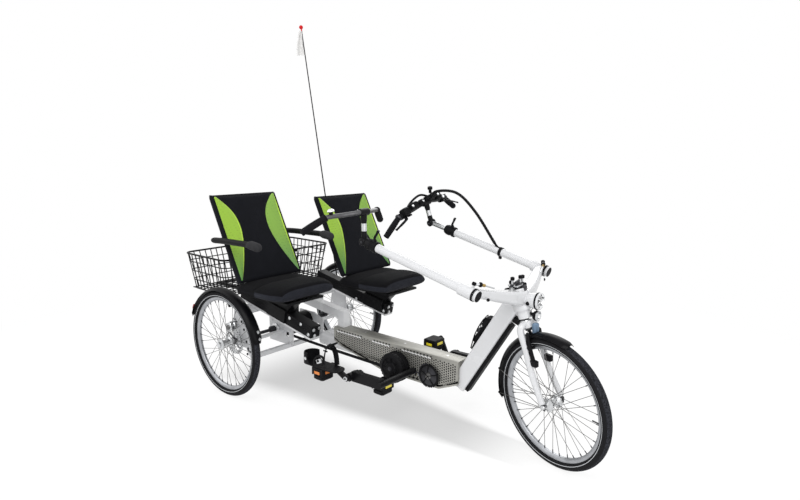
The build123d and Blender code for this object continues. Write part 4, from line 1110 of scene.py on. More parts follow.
def waist(v):
    """Half width of the black middle panel as a share of the back's, foot to head."""
    t = (v - 0.6) / (0.6 if v < 0.6 else 0.4)
    return 0.43 + 0.5 * abs(t) ** (1.5 if v < 0.6 else 2.5)


# shares across a net panel, the last narrow one is its piping, and the steps of the panel between them
PANEL_SHARES = (0, 0.13, 0.27, 0.41, 0.55, 0.69, 0.82, 0.92, 1)
NET_STEPS = len(PANEL_SHARES) - 1
CENTRE_STEPS = 16
# half width share at which the back starts to round off
ROUND_SHARE = 0.945


def back_columns(v):
    """Shares across the front face with how far each is proud, edge to edge."""
    w = waist(v)
    edge = 0.93
    ridge = 0.16 * sin(tau * 19 * v)
    left = [(-edge + (edge - w) * n, sin(pi * n) * 0.6) for n in PANEL_SHARES[:-1]]
    centre = []
    for n in range(CENTRE_STEPS):
        ripple = 0.12 * sin(7 * v + n) * sin(5 * v - n / 2)
        centre.append((-w + 2 * w * n / CENTRE_STEPS, sin(pi * n / CENTRE_STEPS) + ripple))
    right = [(w + (edge - w) * n, sin(pi * n) * (0.6 + ridge)) for n in PANEL_SHARES]
    return left + centre + right


def seat_back(side_name, side, shift):
    """Leaning seat back: black hourglass between green mesh panels on a padded frame."""
    shape = Shape(Matrix.Translation(shift))
    rows = 44
    foot = at(BACK_FOOT[0], side * SEAT_Y, BACK_FOOT[1])
    rings = []
    for i in range(rows + 1):
        v = i / rows
        ends = min(v, 1 - v) * BACK_LEAN.length / 0.016
        round_off = 1.0 if ends >= 1 else (1 - (1 - ends) ** 2) ** 0.5
        middle = foot + BACK_LEAN * (0.004 + 1.016 * v) - BACK_FRONT * (BACK_THICK / 2)
        lift = TOP_RISE * max(0, (v - 0.8) / 0.2) ** 2
        squash = 0.35 + 0.65 * round_off

        def spot(u, depth):
            """Point of the ring at a share of the half width, a depth in front of its middle."""
            rise = lift * (abs(u) ** 3 * (1.5 if u < 0 else 1) - 0.4)
            return middle + vec(0, SEAT_HALF * u, 0) + BACK_UP * rise + BACK_FRONT * depth * squash

        half = BACK_THICK / 2
        bends = [(ROUND_SHARE + (1 - ROUND_SHARE) * sin(pi * n / 8), half * 0.9 * cos(pi * n / 8))
                for n in range(1, 8)]
        ring = [spot(u, half * (0.55 + 0.4 * u * u) + 0.006 * proud - 0.004) for u,
                proud in back_columns(v)]
        ring += [spot(u, depth) for u, depth in bends]
        for n in range(13):
            u = ROUND_SHARE * (1 - n / 6)
            ring.append(spot(u, -half * (0.55 + 0.35 * u * u)))
        ring += [spot(-u, -depth) for u, depth in bends]
        rings.append(ring)

    def panel(i, j):
        """Net with its piping at both sides of the front, black cloth elsewhere; the net on the riders' left
        is the darker copy with painted shade.
        """
        right = j - NET_STEPS - CENTRE_STEPS
        if not (j < NET_STEPS or 0 <= right < NET_STEPS) or not 1 <= i < rows - 1:
            return BACK_CLOTH
        if NET_STEPS - 1 in (j, right):
            return PIPING
        return NET if j < NET_STEPS else NET_PAINTED_SHADE

    shape.skin(rings, BACK_CLOTH, pick=panel)
    return shape.done("seat_back_" + side_name, "seat_" + side_name, "seat_fabric", 70)


CUSHION_X = (0.152, 0.496)
CUSHION_Z = (0.598, 0.686)
# shares of the cushion's length: where its heel ends, its cross seam, where it narrows and where it closes
HEEL_SHARE, SEAM_SHARE, TAPER_SHARE, NOSE_SHARE = 0.15, 0.44, 0.62, 0.94


def cushion(side_name, side, shift):
    """Seat cushion: crowned rear part with a seam and a raised, rounded front pad."""
    shape = Shape(Matrix.Translation(shift))
    columns, rows = 36, 48
    rings = []
    shares = [1 - (1 - i / rows) ** 1.6 for i in range(rows + 1)]
    length = CUSHION_X[1] - CUSHION_X[0]
    base = (CUSHION_Z[0] + CUSHION_Z[1]) / 2
    for s in shares:
        x = CUSHION_X[0] + length * s
        nose = max(0, (s - NOSE_SHARE) / (1 - NOSE_SHARE))
        heel = max(0, (HEEL_SHARE - s) / HEEL_SHARE)
        taper = 1 - 0.2 * max(0, (s - TAPER_SHARE) / (1 - TAPER_SHARE)) ** 2.4 - 0.05 * heel ** 2
        half = SEAT_HALF * taper
        close = max(0, 1 - nose ** 2) ** 0.5 * (1 - 0.6 * max(0, (0.05 - s) / 0.05) ** 2)
        seam = abs(s - SEAM_SHARE) * length
        dip = 0.009 * max(0, 1 - seam / 0.012)
        if s < SEAM_SHARE:
            swell = 0.01 + 0.01 * sin(pi * s / SEAM_SHARE)
        else:
            swell = 0.02 + 0.012 * max(0, sin(pi * (s - SEAM_SHARE) / (1 - SEAM_SHARE))) ** 0.7
        ring = []
        for n in range(columns * 2):
            turn = tau * n / (columns * 2)
            c, d = cos(turn), sin(turn)
            y = half * (1 if c > 0 else -1) * abs(c) ** 0.35
            crown = swell * max(0.0, 1 - (abs(y) / half) ** 4) * close
            if d >= 0:
                z = base + close * 0.02 * abs(d) ** 0.5 + crown
                if d > 0.1 and abs(y) < half * 0.97:
                    z -= dip
            else:
                z = base - close * 0.026 * abs(d) ** 0.45
            ring.append(at(x, side * SEAT_Y + y, z - 0.004))
        rings.append(ring)
    last = columns * 2

    def band(i, j):
        """Paler cloth on the walls of the front pad and on its nose."""
        wall = j < 3 or j > last - 16 or columns - 4 < j < columns + 16
        return SIDE_CLOTH if shares[i] > 0.46 and wall or shares[i] > 0.978 else CLOTH

    shape.skin(rings, CLOTH, pick=band)
    piece = shape.done("seat_cushion_" + side_name, "seat_" + side_name, "seat_fabric", 80)
    return piece


ARMREST_PIVOT = (0.04, 0.892)
ARMREST_Y = {"right": -0.539, "left": -0.051}
ARMREST_TILT = 2


def armrest(name):
    """Armrest: flat rear bar and a fuller rounded front end that droops, with its pivot bracket."""
    pivot = at(ARMREST_PIVOT[0], ARMREST_Y[name], ARMREST_PIVOT[1])
    shape = Shape(Matrix.Translation(pivot) @ Matrix.Rotation(radians(-ARMREST_TILT), 4, "Y"))
    points = [vec(x, 0, z) for x, z in ((-0.02, -0.001), (0.08, 0.001), (0.2, 0.0), (0.28, -0.001),
            (0.34, -0.006), (0.384, -0.016))]
    path = smooth_path(points, 8)
    last = len(path) - 1
    radii = []
    for n in range(len(path)):
        s = n / last
        width = 0.0165 + 0.007 * min(1, max(0, (s - 0.62) / 0.08))
        tip = (1 - max(0, (s - 0.88) / 0.12) ** 2) ** 0.5
        start = (1 - max(0, (0.05 - s) / 0.05) ** 2 * 0.5) ** 0.5
        radii.append(max(0.003, width * tip * start))
    cut = round(last * 0.64)
    shape.tube(path[:cut + 1], radii[:cut + 1], PLASTIC, 20, 0.95)
    shape.tube(path[cut:], radii[cut:], PAD, 20, 0.95)
    shape.lathe(vec(0, -0.014, 0), (0, 1, 0), [(0.0105, 0), (0.0118, 0.002), (0.0118, 0.026),
            (0.0105, 0.028)], PLASTIC, 24)
    return shape.done("armrest_" + name, "armrest_%s_arm" % name, "black_plastic")


for side_name, side, shift in (("right", -1, vec(0, 0, 0)), ("left", 1, FAR_SHIFT)):
    seat_back(side_name, side, shift)
    cushion(side_name, side, shift)
for name in ARMREST_Y:
    armrest(name)


# basket of round wire, narrower at its floor
BASKET_X = (-0.5, -0.084)
BASKET_HALF = 0.41
BASKET_Z = (0.522, 0.746)
WIRE = 0.0032
RIM_WIRE = 0.0055


def basket():
    """Luggage basket: rounded hoops, uprights on all sides and a crossed floor."""
    shape = Shape()
    inset, corner = 0.03, 0.045

    def hoop(share, grow=0.0):
        """Closed loop of the basket at a share of its height."""
        tuck = inset * (1 - share) + grow
        x0, x1 = BASKET_X[0] + 0.0058 + tuck, BASKET_X[1] - 0.0058 - tuck
        half = BASKET_HALF - 0.004 - tuck
        z = BASKET_Z[0] + 0.004 + (BASKET_Z[1] - BASKET_Z[0] - 0.009) * share
        loop = []
        for cx, cy, start in ((x1 - corner, half - corner, 0), (x0 + corner, half - corner, 90),
                (x0 + corner, -half + corner, 180), (x1 - corner, -half + corner, 270)):
            for n in range(7):
                turn = radians(start + 15 * n)
                loop.append(at(cx + corner * cos(turn), cy + corner * sin(turn), z))
        return loop

    def spot(loop, share):
        """Point at a share of a loop's length."""
        lengths = [(loop[n] - loop[n - 1]).length for n in range(len(loop))]
        target = share * sum(lengths)
        for n, piece in enumerate(lengths):
            if target <= piece:
                return loop[n - 1].lerp(loop[n], target / piece)
            target -= piece
        return loop[-1]

    for share in (0.0, 0.26, 0.52, 0.78):
        shape.tube(hoop(share), WIRE, BLACK, 6, loop=True)
    shape.tube(hoop(1.0), RIM_WIRE, BLACK, 10, loop=True)
    high, low = hoop(0.985), hoop(0.0)
    uprights = 60
    for n in range(uprights):
        shape.tube([spot(low, n / uprights), spot(high, n / uprights)], WIRE, BLACK, 6)
    z = BASKET_Z[0] + 0.004
    x0, x1 = BASKET_X[0] + 0.034, BASKET_X[1] - 0.034
    half = BASKET_HALF - 0.034
    for n in range(9):
        x = x0 + (x1 - x0) * n / 8
        shape.tube([at(x, -half, z), at(x, half, z)], WIRE, BLACK, 6)
    for n in range(17):
        y = -half + 2 * half * n / 16
        shape.tube([at(x0, y, z + 0.002), at(x1, y, z + 0.002)], WIRE, BLACK, 6)
    for y in (-0.12, 0.12):
        shape.box(at(BASKET_X[1] - 0.012, y, BASKET_Z[1] - 0.014), (0.012, 0.03, 0.018), PLASTIC)
    return shape.done("basket", "frame", "black_paint")


basket()


# flag
POLE_FOOT, POLE_HEAD = (0.046, 0.352, 0.5), (-0.256, 0.352, 2.107)
FLAG_WIDTH, FLAG_LENGTH = 0.048, 0.15
BALL_RADIUS = 0.0125
PLEATS = 1.5


def flag():
    """Thin pole with a red ball, and a small pennant that hangs in soft folds."""
    shape = Shape()
    foot, head = at(*POLE_FOOT), at(*POLE_HEAD)
    shape.tube([mid(foot, head, s) for s in (0.0, 0.3, 0.6, 0.994)], [0.0044, 0.004, 0.0036, 0.0032],
            PLASTIC, 10)
    shape.lathe(foot - vec(0, 0, 0.026), (head - foot).normalized(), [(0.0095, 0), (0.0098, 0.05),
            (0.006, 0.058)], PLASTIC, 18)
    ball = [(BALL_RADIUS * sin(pi * n / 12), -BALL_RADIUS * cos(pi * n / 12)) for n in range(1, 12)]
    shape.lathe(head - vec(0, 0, 0.0027), (0, 0, 1), ball, BALL, 24)
    shape.rod(mid(head, foot, 0.018), mid(head, foot, 0.004), 0.0045, BALL, 12)
    shape.done("flag_pole", "frame", "black_paint")
    low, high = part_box("flag")
    top = vec((low.x + high.x) / 2, high.y, high.z - 0.002)
    cloth = Shape()
    rings = []
    rows, columns = 30, 24
    thick = 0.0006
    lean = (head - foot).normalized()
    for i in range(rows + 1):
        v = i / rows
        front, back = [], []
        for j in range(columns + 1):
            u = j / columns
            spread = 0.4 + 0.5 * min(1, v / 0.6)
            fold = FLAG_WIDTH * (1 - spread ** 2) ** 0.5 / (4 * PLEATS)
            ripple = fold * sin(tau * PLEATS * u) - lean.x / lean.z * FLAG_LENGTH * v * (1 - 0.8 * u)
            y = -FLAG_WIDTH * u * spread
            z = -FLAG_LENGTH * v * 0.985 - 0.004 * u
            front.append(top + vec(ripple + thick, y, z))
            back.append(top + vec(ripple - thick, y, z))
        rings.append(front + list(reversed(back)))
    cloth.skin(rings, FLAG)
    piece = cloth.done("flag", "frame", "flag_cloth", 60)


flag()


# deck cover of perforated sheet
DECK_X = (0.414, 1.262)
DECK_TOP = 0.38
DECK_HALF = 0.042
SKIRT = ((0.414, 0.3), (0.476, 0.274), (0.776, 0.212), (1.15, 0.212), (1.262, 0.262))
HOLE_PITCH, HOLE_RADIUS = 0.0125, 0.006
SHEET_THICK = 0.0016
LINER_INSET = 0.012
# runs of bright slots under the top edge, from and to, forward of the axle
SLOT_RUNS = ((0.446, 0.64), (0.712, 0.835), (0.92, 1.115))
SLOT_PITCH = 0.021


def skirt_low(x):
    """Height of the skirt's lower edge at a distance forward."""
    for (x0, z0), (x1, z1) in zip(SKIRT, SKIRT[1:]):
        if x <= x1:
            return z0 + (z1 - z0) * (x - x0) / (x1 - x0)
    return SKIRT[-1][1]


def perforated(shape, origin, along_x, along_z, normal, columns, rows, wanted, pitch=HOLE_PITCH):
    """Sheet with a round hole in each wanted cell, its faces joined through the holes."""
    index = shape.slot(DECK)
    sides = 8
    ring = [(cos(tau * (n + 0.5) / sides), sin(tau * (n + 0.5) / sides)) for n in range(sides)]
    ring = [(a / (abs(a) + abs(b)), b / (abs(a) + abs(b))) for a, b in ring]
    corner_of = [(1, 1), (-1, 1), (-1, -1), (1, -1)]
    half = pitch / 2

    def lay(middle, outline, size):
        """New points of an outline of that size about the middle."""
        return [shape.bm.verts.new(middle + along_x * (size * a) + along_z * (size * b)) for a, b in outline]

    for i in range(columns):
        for j in range(rows):
            kind = wanted(i, j)
            if kind == 0:
                continue
            centre = origin + along_x * (pitch * (i + 0.5)) + along_z * (pitch * (j + 0.5 + i % 2 / 2))
            layers = []
            for lift in (0, -SHEET_THICK):
                square = lay(centre + normal * lift, corner_of, half)
                hole = lay(centre + normal * lift, ring, HOLE_RADIUS) if kind == 2 else []
                layers.append((square, hole))
                if kind == 1:
                    shape.face(square, index)
                    continue
                for n in range(4):
                    a, b = hole[(2 * n) % sides], hole[(2 * n + 1) % sides]
                    c = hole[(2 * n + 2) % sides]
                    shape.face((square[n], a, b), index)
                    shape.face((square[n], b, c, square[(n + 1) % 4]), index)
            if kind == 2:
                for n in range(sides):
                    m = (n + 1) % sides
                    shape.face((layers[0][1][n], layers[0][1][m], layers[1][1][m], layers[1][1][n]), index)


def deck():
    """Bent sheet: plain top with a row of slots along each edge, and perforated sides."""
    shape = Shape()
    length = DECK_X[1] - DECK_X[0]
    columns = int(length / HOLE_PITCH)
    pitch = length / columns
    tall = int((DECK_TOP - 0.212) / pitch)
    for side in (-1, 1):
        def side_cell(i, j):
            x = DECK_X[0] + pitch * (i + 0.5)
            z = DECK_TOP - 0.004 - pitch * (j + 0.5 + i % 2 / 2)
            low = skirt_low(x)
            if z - pitch * 0.5 < low:
                return 0
            return 1 if z - pitch * 1.4 < low or j == 0 or i in (0, columns - 1) else 2

        perforated(shape, at(DECK_X[0], side * DECK_HALF, DECK_TOP - 0.004), vec(1, 0, 0), vec(0, 0, -1),
                vec(0, side, 0), columns, tall, side_cell, pitch)
        border = [DECK_X[0] + length * n / 80 for n in range(81)]
        for height, foot, inset in ((0.02, 0.0, 0.0), (0.009, 0.0, 0.0012)):
            shape.skin([[at(x, side * (DECK_HALF - 0.0006), skirt_low(x) + foot),
                    at(x, side * (DECK_HALF + inset), skirt_low(x) + foot),
                    at(x, side * (DECK_HALF + inset), skirt_low(x) + height),
                    at(x, side * (DECK_HALF - 0.0006), skirt_low(x) + height)] for x in border], DECK)
        shape.box(at((DECK_X[0] + DECK_X[1]) / 2, side * DECK_HALF, DECK_TOP - 0.009),
                (length, 0.0014, 0.012), DECK, None, 0.0004)
        liner = [(x + LINER_INSET, z + LINER_INSET) for x, z in SKIRT]
        liner[-1] = (SKIRT[-1][0] - LINER_INSET, SKIRT[-1][1])
        liner += [(SKIRT[-1][0] - LINER_INSET, DECK_TOP - LINER_INSET), (SKIRT[0][0] + LINER_INSET,
                DECK_TOP - LINER_INSET)]
        shape.skin([[at(x, side * (DECK_HALF - depth), z) for x, z in liner]
                for depth in (0.003, 0.004)], PLASTIC)
    lip = 0.004
    section = [(-DECK_HALF, DECK_TOP - lip), (-DECK_HALF + lip * 0.3, DECK_TOP - lip * 0.3),
            (-DECK_HALF + lip, DECK_TOP), (DECK_HALF - lip, DECK_TOP), (DECK_HALF - lip * 0.3,
            DECK_TOP - lip * 0.3), (DECK_HALF, DECK_TOP - lip)]
    inner = [(y * 0.97, z - SHEET_THICK) for y, z in reversed(section)]
    steps = 40
    rings = [[at(DECK_X[0] + length * n / steps, y, z) for y, z in section + inner]
            for n in range(steps + 1)]
    shape.skin(rings, DECK)
    slant = spun(radians(12))
    for side in (-1, 1):
        for first, last in SLOT_RUNS:
            for n in range(round((last - first) / SLOT_PITCH)):
                place = at(first + n * SLOT_PITCH, side * (DECK_HALF + 0.0008), DECK_TOP - 0.022)
                shape.box(place, (SLOT_PITCH * 0.86, 0.0014, 0.0065), SILVER_WHITE, slant, 0.0004)
                shape.box(place + vec(SLOT_PITCH / 2, 0, 0.009), (0.011, 0.0013, 0.006), PLASTIC, slant,
                        0.0004)
    end_foot = skirt_low(DECK_X[1])
    shape.box(at(DECK_X[1] - SHEET_THICK, 0, (DECK_TOP + end_foot) / 2), (SHEET_THICK, DECK_HALF * 1.94,
            DECK_TOP - end_foot - 0.004), DECK, None, 0.0004)
    for x in (0.62, 0.9, 1.17):
        shape.lathe(at(x, 0, DECK_TOP - 0.0005), (0, 0, 1), [(0.007, 0), (0.007, 0.0008),
                (0.004, 0.0014)], SILVER, 18)
    return shape.done("deck_cover", "frame", "deck_metal")


deck()


# drive parts beside the beam
def toothed(shape, centre, radius, teeth, half, material, way):
    """Flat toothed ring with a spider of five arms."""
    count = teeth * 4
    profile = []
    for n in range(count):
        turn = tau * n / count
        r = radius if n % 4 in (1, 2) else radius - 0.005
        profile.append((r * cos(turn), r * sin(turn)))
    inner_r = radius * 0.78
    inner = [(inner_r * cos(tau * n / count), inner_r * sin(tau * n / count)) for n in range(count)]
    sections = ((inner, -half), (profile, -half), (profile, half), (inner, half))
    shape.skin([[centre + vec(x, y, z) for x, z in outline] for outline, y in sections], material,
            loop=True)
    for turn in turns(5, 0.3):
        tip = centre + heading(turn) * (inner_r + 0.003)
        shape.tube([centre, tip], [0.011, 0.007], material, 10, 0.35)
        shape.lathe(tip + vec(0, way * half, 0), (0, way, 0), [(0.0045, 0), (0.0045, 0.002),
                (0.003, 0.003)], material, 10)


def drive_discs():
    """Black gear wheel with ribs and a chain ring on a short shaft."""
    shape = Shape()
    x, z = 0.892, 0.27
    centre = at(x, -DECK_HALF, z)
    shape.lathe(centre, (0, -1, 0), [(0.03, 0.0), (0.072, 0.002), (0.0755, 0.007), (0.0755, 0.026),
            (0.067, 0.031), (0.067, 0.037), (0.076, 0.041), (0.077, 0.048), (0.075, 0.06),
            (0.068, 0.066), (0.056, 0.068), (0.053, 0.064), (0.034, 0.064), (0.03, 0.07),
            (0.012, 0.071)], PLASTIC, 56)
    for turn in turns(30):
        out = heading(turn)
        spin = spun(-turn)
        shape.box(centre + out * 0.0755 + vec(0, -0.016, 0), (0.008, 0.018, 0.007), PLASTIC, spin, 0.001)
        shape.box(centre + out * 0.0755 + vec(0, -0.052, 0), (0.007, 0.018, 0.008), PLASTIC, spin, 0.002)
    for turn in turns(8):
        out = heading(turn)
        spin = spun(-turn)
        shape.box(centre + out * 0.044 + vec(0, -0.066, 0), (0.022, 0.004, 0.005), GUARD, spin, 0.001)
    shape.lathe(centre + vec(0, -0.07, 0), (0, -1, 0), [(0.012, 0), (0.012, 0.003), (0.008, 0.004)],
            DARK_METAL, 24)
    ring = at(1.094, -DECK_HALF - 0.011, 0.269)
    toothed(shape, ring, 0.062, 34, 0.0015, PLASTIC, -1)
    shape.lathe(ring, (0, -1, 0), [(0.05, -0.001), (0.05, 0.0012), (0.034, 0.002), (0.03, 0.004),
            (0.022, 0.0045)], DARK_METAL, 36)
    shape.lathe(at(1.094, -DECK_HALF, 0.269), (0, -1, 0), [(0.02, 0), (0.02, 0.009), (0.017, 0.0175),
            (0.01, 0.019)], SPOKE, 28)
    guide = at(0.985, -DECK_HALF - 0.002, 0.262)
    shape.box(guide, (0.1, 0.008, 0.02), DARK_METAL, spun(radians(12)), 0.002)
    for dx in (-0.036, -0.012, 0.014, 0.038):
        shape.bolt(guide + vec(dx, -0.004, -dx * 0.2), (0, -1, 0), 0.0055, 0.006,
                SILVER if dx > 0 else DARK_METAL)
    chain = []
    for n in range(26):
        turn = radians(100 + 160 * n / 25)
        chain.append(ring + heading(turn) * 0.0605)
    for n, point in enumerate(chain[:-1]):
        after = chain[n + 1]
        run = after - point
        spin = spun(-vec(1, 0, 0).angle(run) * (1 if run.z > 0 else -1))
        shape.box(mid(point, after, 0.5), (run.length * 1.15, 0.0045 if n % 2 else 0.0062, 0.005),
                DARK_METAL, spin, 0.001)
    return shape.done("drive_discs", "frame", "black_paint")


drive_discs()


# cranks and pedals
CRANK_RADIUS = 0.11
CRANKS = {"right": (0.8, -0.285, 0.262, -24), "left": (1.0, 0.285, 0.262, -66)}
SHELL_HALF, CRANK_GAP, CRANK_THICK = 0.034, 0.007, 0.014
PEDAL_WIDTH, PEDAL_LENGTH = 0.092, 0.08
PEDAL_OVER, PEDAL_UNDER = 0.013, 0.05
OUTER = SHELL_HALF + CRANK_GAP + CRANK_THICK


def crank_tip(name, across):
    """X and Z of the pedal pin of one arm."""
    x, _, z, angle = CRANKS[name]
    sign = 1 if across > 0 else -1
    return x + sign * CRANK_RADIUS * cos(radians(angle)), z + sign * CRANK_RADIUS * sin(radians(angle))


def crankset(name):
    """Spindle with two tapered arms, each ending in an eye round the pedal pin."""
    x, y, z, _ = CRANKS[name]
    shape = Shape()
    shape.rod(at(x, y - OUTER, z), at(x, y + OUTER, z), 0.0104, DARK_METAL, 24)
    for across in (-1, 1):
        tx, tz = crank_tip(name, across)
        mid_y = y + across * (OUTER - CRANK_THICK / 2)
        a, b = at(x, mid_y, z), at(tx, mid_y, tz)
        run = (b - a).normalized()
        side = vec(-run.z, 0, run.x)
        outline = []
        for n in range(13):
            turn = pi / 2 + pi * n / 12
            outline.append(a + run * (0.0155 * cos(turn)) + side * (0.0155 * sin(turn)))
        for n in range(13):
            turn = -pi / 2 + pi * n / 12
            outline.append(b + run * (0.0125 * cos(turn)) + side * (0.0125 * sin(turn)))
        half = CRANK_THICK / 2
        centre = mid(a, b, 0.5)
        rings = [[centre + (p - centre) * grow + vec(0, off, 0) for p in outline]
                for off, grow in ((-half, 0.975), (-half + 0.002, 1.0), (half - 0.002, 1.0),
                (half, 0.975))]
        shape.skin(rings, BLACK)
        out = vec(0, across, 0)
        shape.lathe(a + out * half, out, [(0.012, 0), (0.012, 0.003), (0.009, 0.004)],
                SILVER if name == "right" else DARK_METAL, 24)
        shape.lathe(a + out * half, out, [(0.0055, 0), (0.0055, 0.005), (0.003, 0.0055)], PLASTIC, 12)
        shape.lathe(b - out * half, -out, [(0.009, 0), (0.009, 0.003), (0.006, 0.004)], SILVER, 18)
        pin_end = at(tx, y + across * (OUTER + PEDAL_WIDTH), tz)
        shape.rod(b, pin_end, 0.0068, DARK_METAL, 18)
        shape.lathe(b + out * half, out, [(0.0095, 0), (0.0095, 0.006)], SILVER, 20)
    return shape.done("crankset_" + name, "crank_" + name, "black_paint")


def pedal(name, across):
    """Counterweighted pedal: ribbed tread plate, hanging box and amber reflectors."""
    y = CRANKS[name][1]
    side = -1 if name == "right" else 1
    place = "inner" if across != side else "outer"
    key = "pedal_%s_%s" % (name, place)
    tx, tz = crank_tip(name, across)
    low_y = y + across * (OUTER + CRANK_GAP)
    high_y = low_y + across * PEDAL_WIDTH
    mid_y = (low_y + high_y) / 2
    shape = Shape()
    centre = at(tx, mid_y, tz)
    width = PEDAL_WIDTH - 0.004
    # painted shade: the outer reflector of the right crank's pedal takes the darker orange copy of the amber
    # lens
    reflector = AMBER_SHADED if key == "pedal_right_outer" else YELLOW
    shape.box(centre + vec(0, 0, PEDAL_OVER - 0.005), (PEDAL_LENGTH - 0.004, width, 0.01), PLASTIC, None,
            0.003)
    for n in range(7):
        dx = -PEDAL_LENGTH / 2 + 0.01 + n * (PEDAL_LENGTH - 0.02) / 6
        shape.box(centre + vec(dx, 0, PEDAL_OVER - 0.0015), (0.004, width - 0.012, 0.003), GRIP, None,
                0.001)
    for way in (-1, 1):
        shape.box(centre + vec(way * (PEDAL_LENGTH / 2 - 0.006), 0, -0.01), (0.009, width, 0.036),
                PLASTIC, None, 0.003)
        shape.box(centre + vec(way * (PEDAL_LENGTH / 2 - 0.0015), 0, -0.008), (0.004, 0.046, 0.015),
                reflector, None, 0.001)
        shape.box(centre + vec(0, way * (width / 2 - 0.005), -0.008), (PEDAL_LENGTH - 0.012, 0.008,
                0.034), PLASTIC, None, 0.003)
    shape.box(centre + vec(0, 0, -PEDAL_UNDER + 0.012), (PEDAL_LENGTH * 0.84, width * 0.9, 0.03),
            PLASTIC, None, 0.007)
    shape.box(centre + vec(0, across * (width / 2 + 0.0002), -0.012), (0.036, 0.004, 0.014), reflector,
            None, 0.001)
    body_inner = at(tx, low_y + across * 0.002, tz)
    shape.lathe(body_inner, (0, across, 0), [(0.0125, 0), (0.0125, 0.01), (0.0105, 0.012)], BLACK, 20)
    if key == "pedal_right_outer":
        foot_shell(shape, tx, mid_y, tz + PEDAL_OVER)
    return shape.done(key, key, "black_plastic")


def foot_shell(shape, x, y, z):
    """Foot shell: sole plate, curved heel cup and a padded hoop over the instep."""
    half = PEDAL_WIDTH / 2 - 0.003
    back, ahead = x - 0.122, x + 0.13
    steps = 10
    sole = []
    for n in range(steps * 2 + 1):
        turn = pi / 2 + pi * n / (steps * 2)
        sole.append((back + half + half * cos(turn), half * sin(turn)))
    for n in range(steps * 2 + 1):
        turn = -pi / 2 + pi * n / (steps * 2)
        sole.append((ahead - half * 0.9 + half * 0.9 * cos(turn), half * sin(turn)))
    rings = [[at(px, y + py, z + h) for px, py in sole] for h in (0.0005, 0.002, 0.005)]
    shape.skin(rings, PLASTIC)
    wall_rings = []
    for h, grow in ((0.005, 1.0), (0.03, 1.0), (0.052, 0.99), (0.058, 0.96)):
        outer, inner = [], []
        for n in range(steps * 2 + 1):
            turn = pi / 2 + pi * n / (steps * 2)
            reach = half * grow
            outer.append(at(back + half + reach * cos(turn), y + reach * sin(turn), z + h))
            inner.append(at(back + half + (reach - 0.005) * cos(turn), y + (reach - 0.005) * sin(turn),
                    z + h))
        front = 0.02 if h < 0.03 else 0.008
        outer = [at(back + half + front, y + half * grow, z + h)] + outer + [at(back + half + front,
                y - half * grow, z + h)]
        inner = [at(back + half + front, y + (half - 0.005) * grow, z + h)] + inner + [at(back + half
                + front, y - (half - 0.005) * grow, z + h)]
        wall_rings.append(outer + list(reversed(inner)))
    shape.skin(wall_rings, PLASTIC)
    strap_x = x + PEDAL_LENGTH / 2 + 0.013
    hoop = []
    for n in range(19):
        turn = pi * n / 18
        hoop.append(at(strap_x - 0.01 * sin(turn), y + (half - 0.001) * cos(turn),
                z + 0.006 + 0.106 * abs(sin(turn)) ** 0.7))
    shape.tube(hoop, 0.0125, PLASTIC, 10, 0.24)
    for n in (5, 7, 9, 11, 13):
        p = hoop[n]
        shape.box(p, (0.028, 0.004, 0.007), GRIP, None, 0.001)
    shape.box(hoop[7] + vec(0, -0.002, 0.003), (0.032, 0.02, 0.012), PLASTIC, spun(radians(25), "X"), 0.003)
    buckle = at(strap_x - 0.036, y - half - 0.002, z + 0.04)
    oval = [buckle + vec(0.034 * cos(tau * n / 20), 0, 0.026 * sin(tau * n / 20) + 0.014
            * cos(tau * n / 20)) for n in range(20)]
    shape.tube(oval, 0.0058, PLASTIC, 8, loop=True)
    shape.box(buckle, (0.036, 0.003, 0.022), SILVER, spun(radians(-25)), 0.001)
    shape.box(buckle + vec(-0.006, -0.002, 0), (0.014, 0.003, 0.012), PLASTIC, spun(radians(-25)), 0.001)
    pitch = spun(radians(-32))
    toe = hoop[8] + vec(0.012, -0.006, 0.006)
    shape.box(toe, (0.056, 0.048, 0.009), PLASTIC, pitch, 0.004)
    for n in range(4):
        shape.box(toe + pitch @ vec(-0.018 + 0.012 * n, 0, 0.0048), (0.004, 0.034, 0.001), SILVER, pitch,
                0.0003)
    shape.lathe(at(back + half - 0.004, y - half - 0.0005, z + 0.03), (0, -1, 0),
            [(0.008, 0), (0.008, 0.0015), (0.005, 0.0022)], SILVER, 18)


for side_name in ("right", "left"):
    crankset(side_name)
    for across in (-1, 1):
        pedal(side_name, across)


# lock holder with its wire loops, on the rear side of the down tube
TUBE_LOW, TUBE_HIGH = at(1.246, 0, 0.25), at(1.56, 0, 0.774)
TUBE_DIR = (TUBE_HIGH - TUBE_LOW).normalized()
TUBE_FRONT = vec(TUBE_DIR.z, 0, -TUBE_DIR.x)


def on_tube(share, off, y=0.0):
    """Point along the down tube, off its middle line to the front."""
    return mid(TUBE_LOW, TUBE_HIGH, share) + TUBE_FRONT * off + vec(0, y, 0)


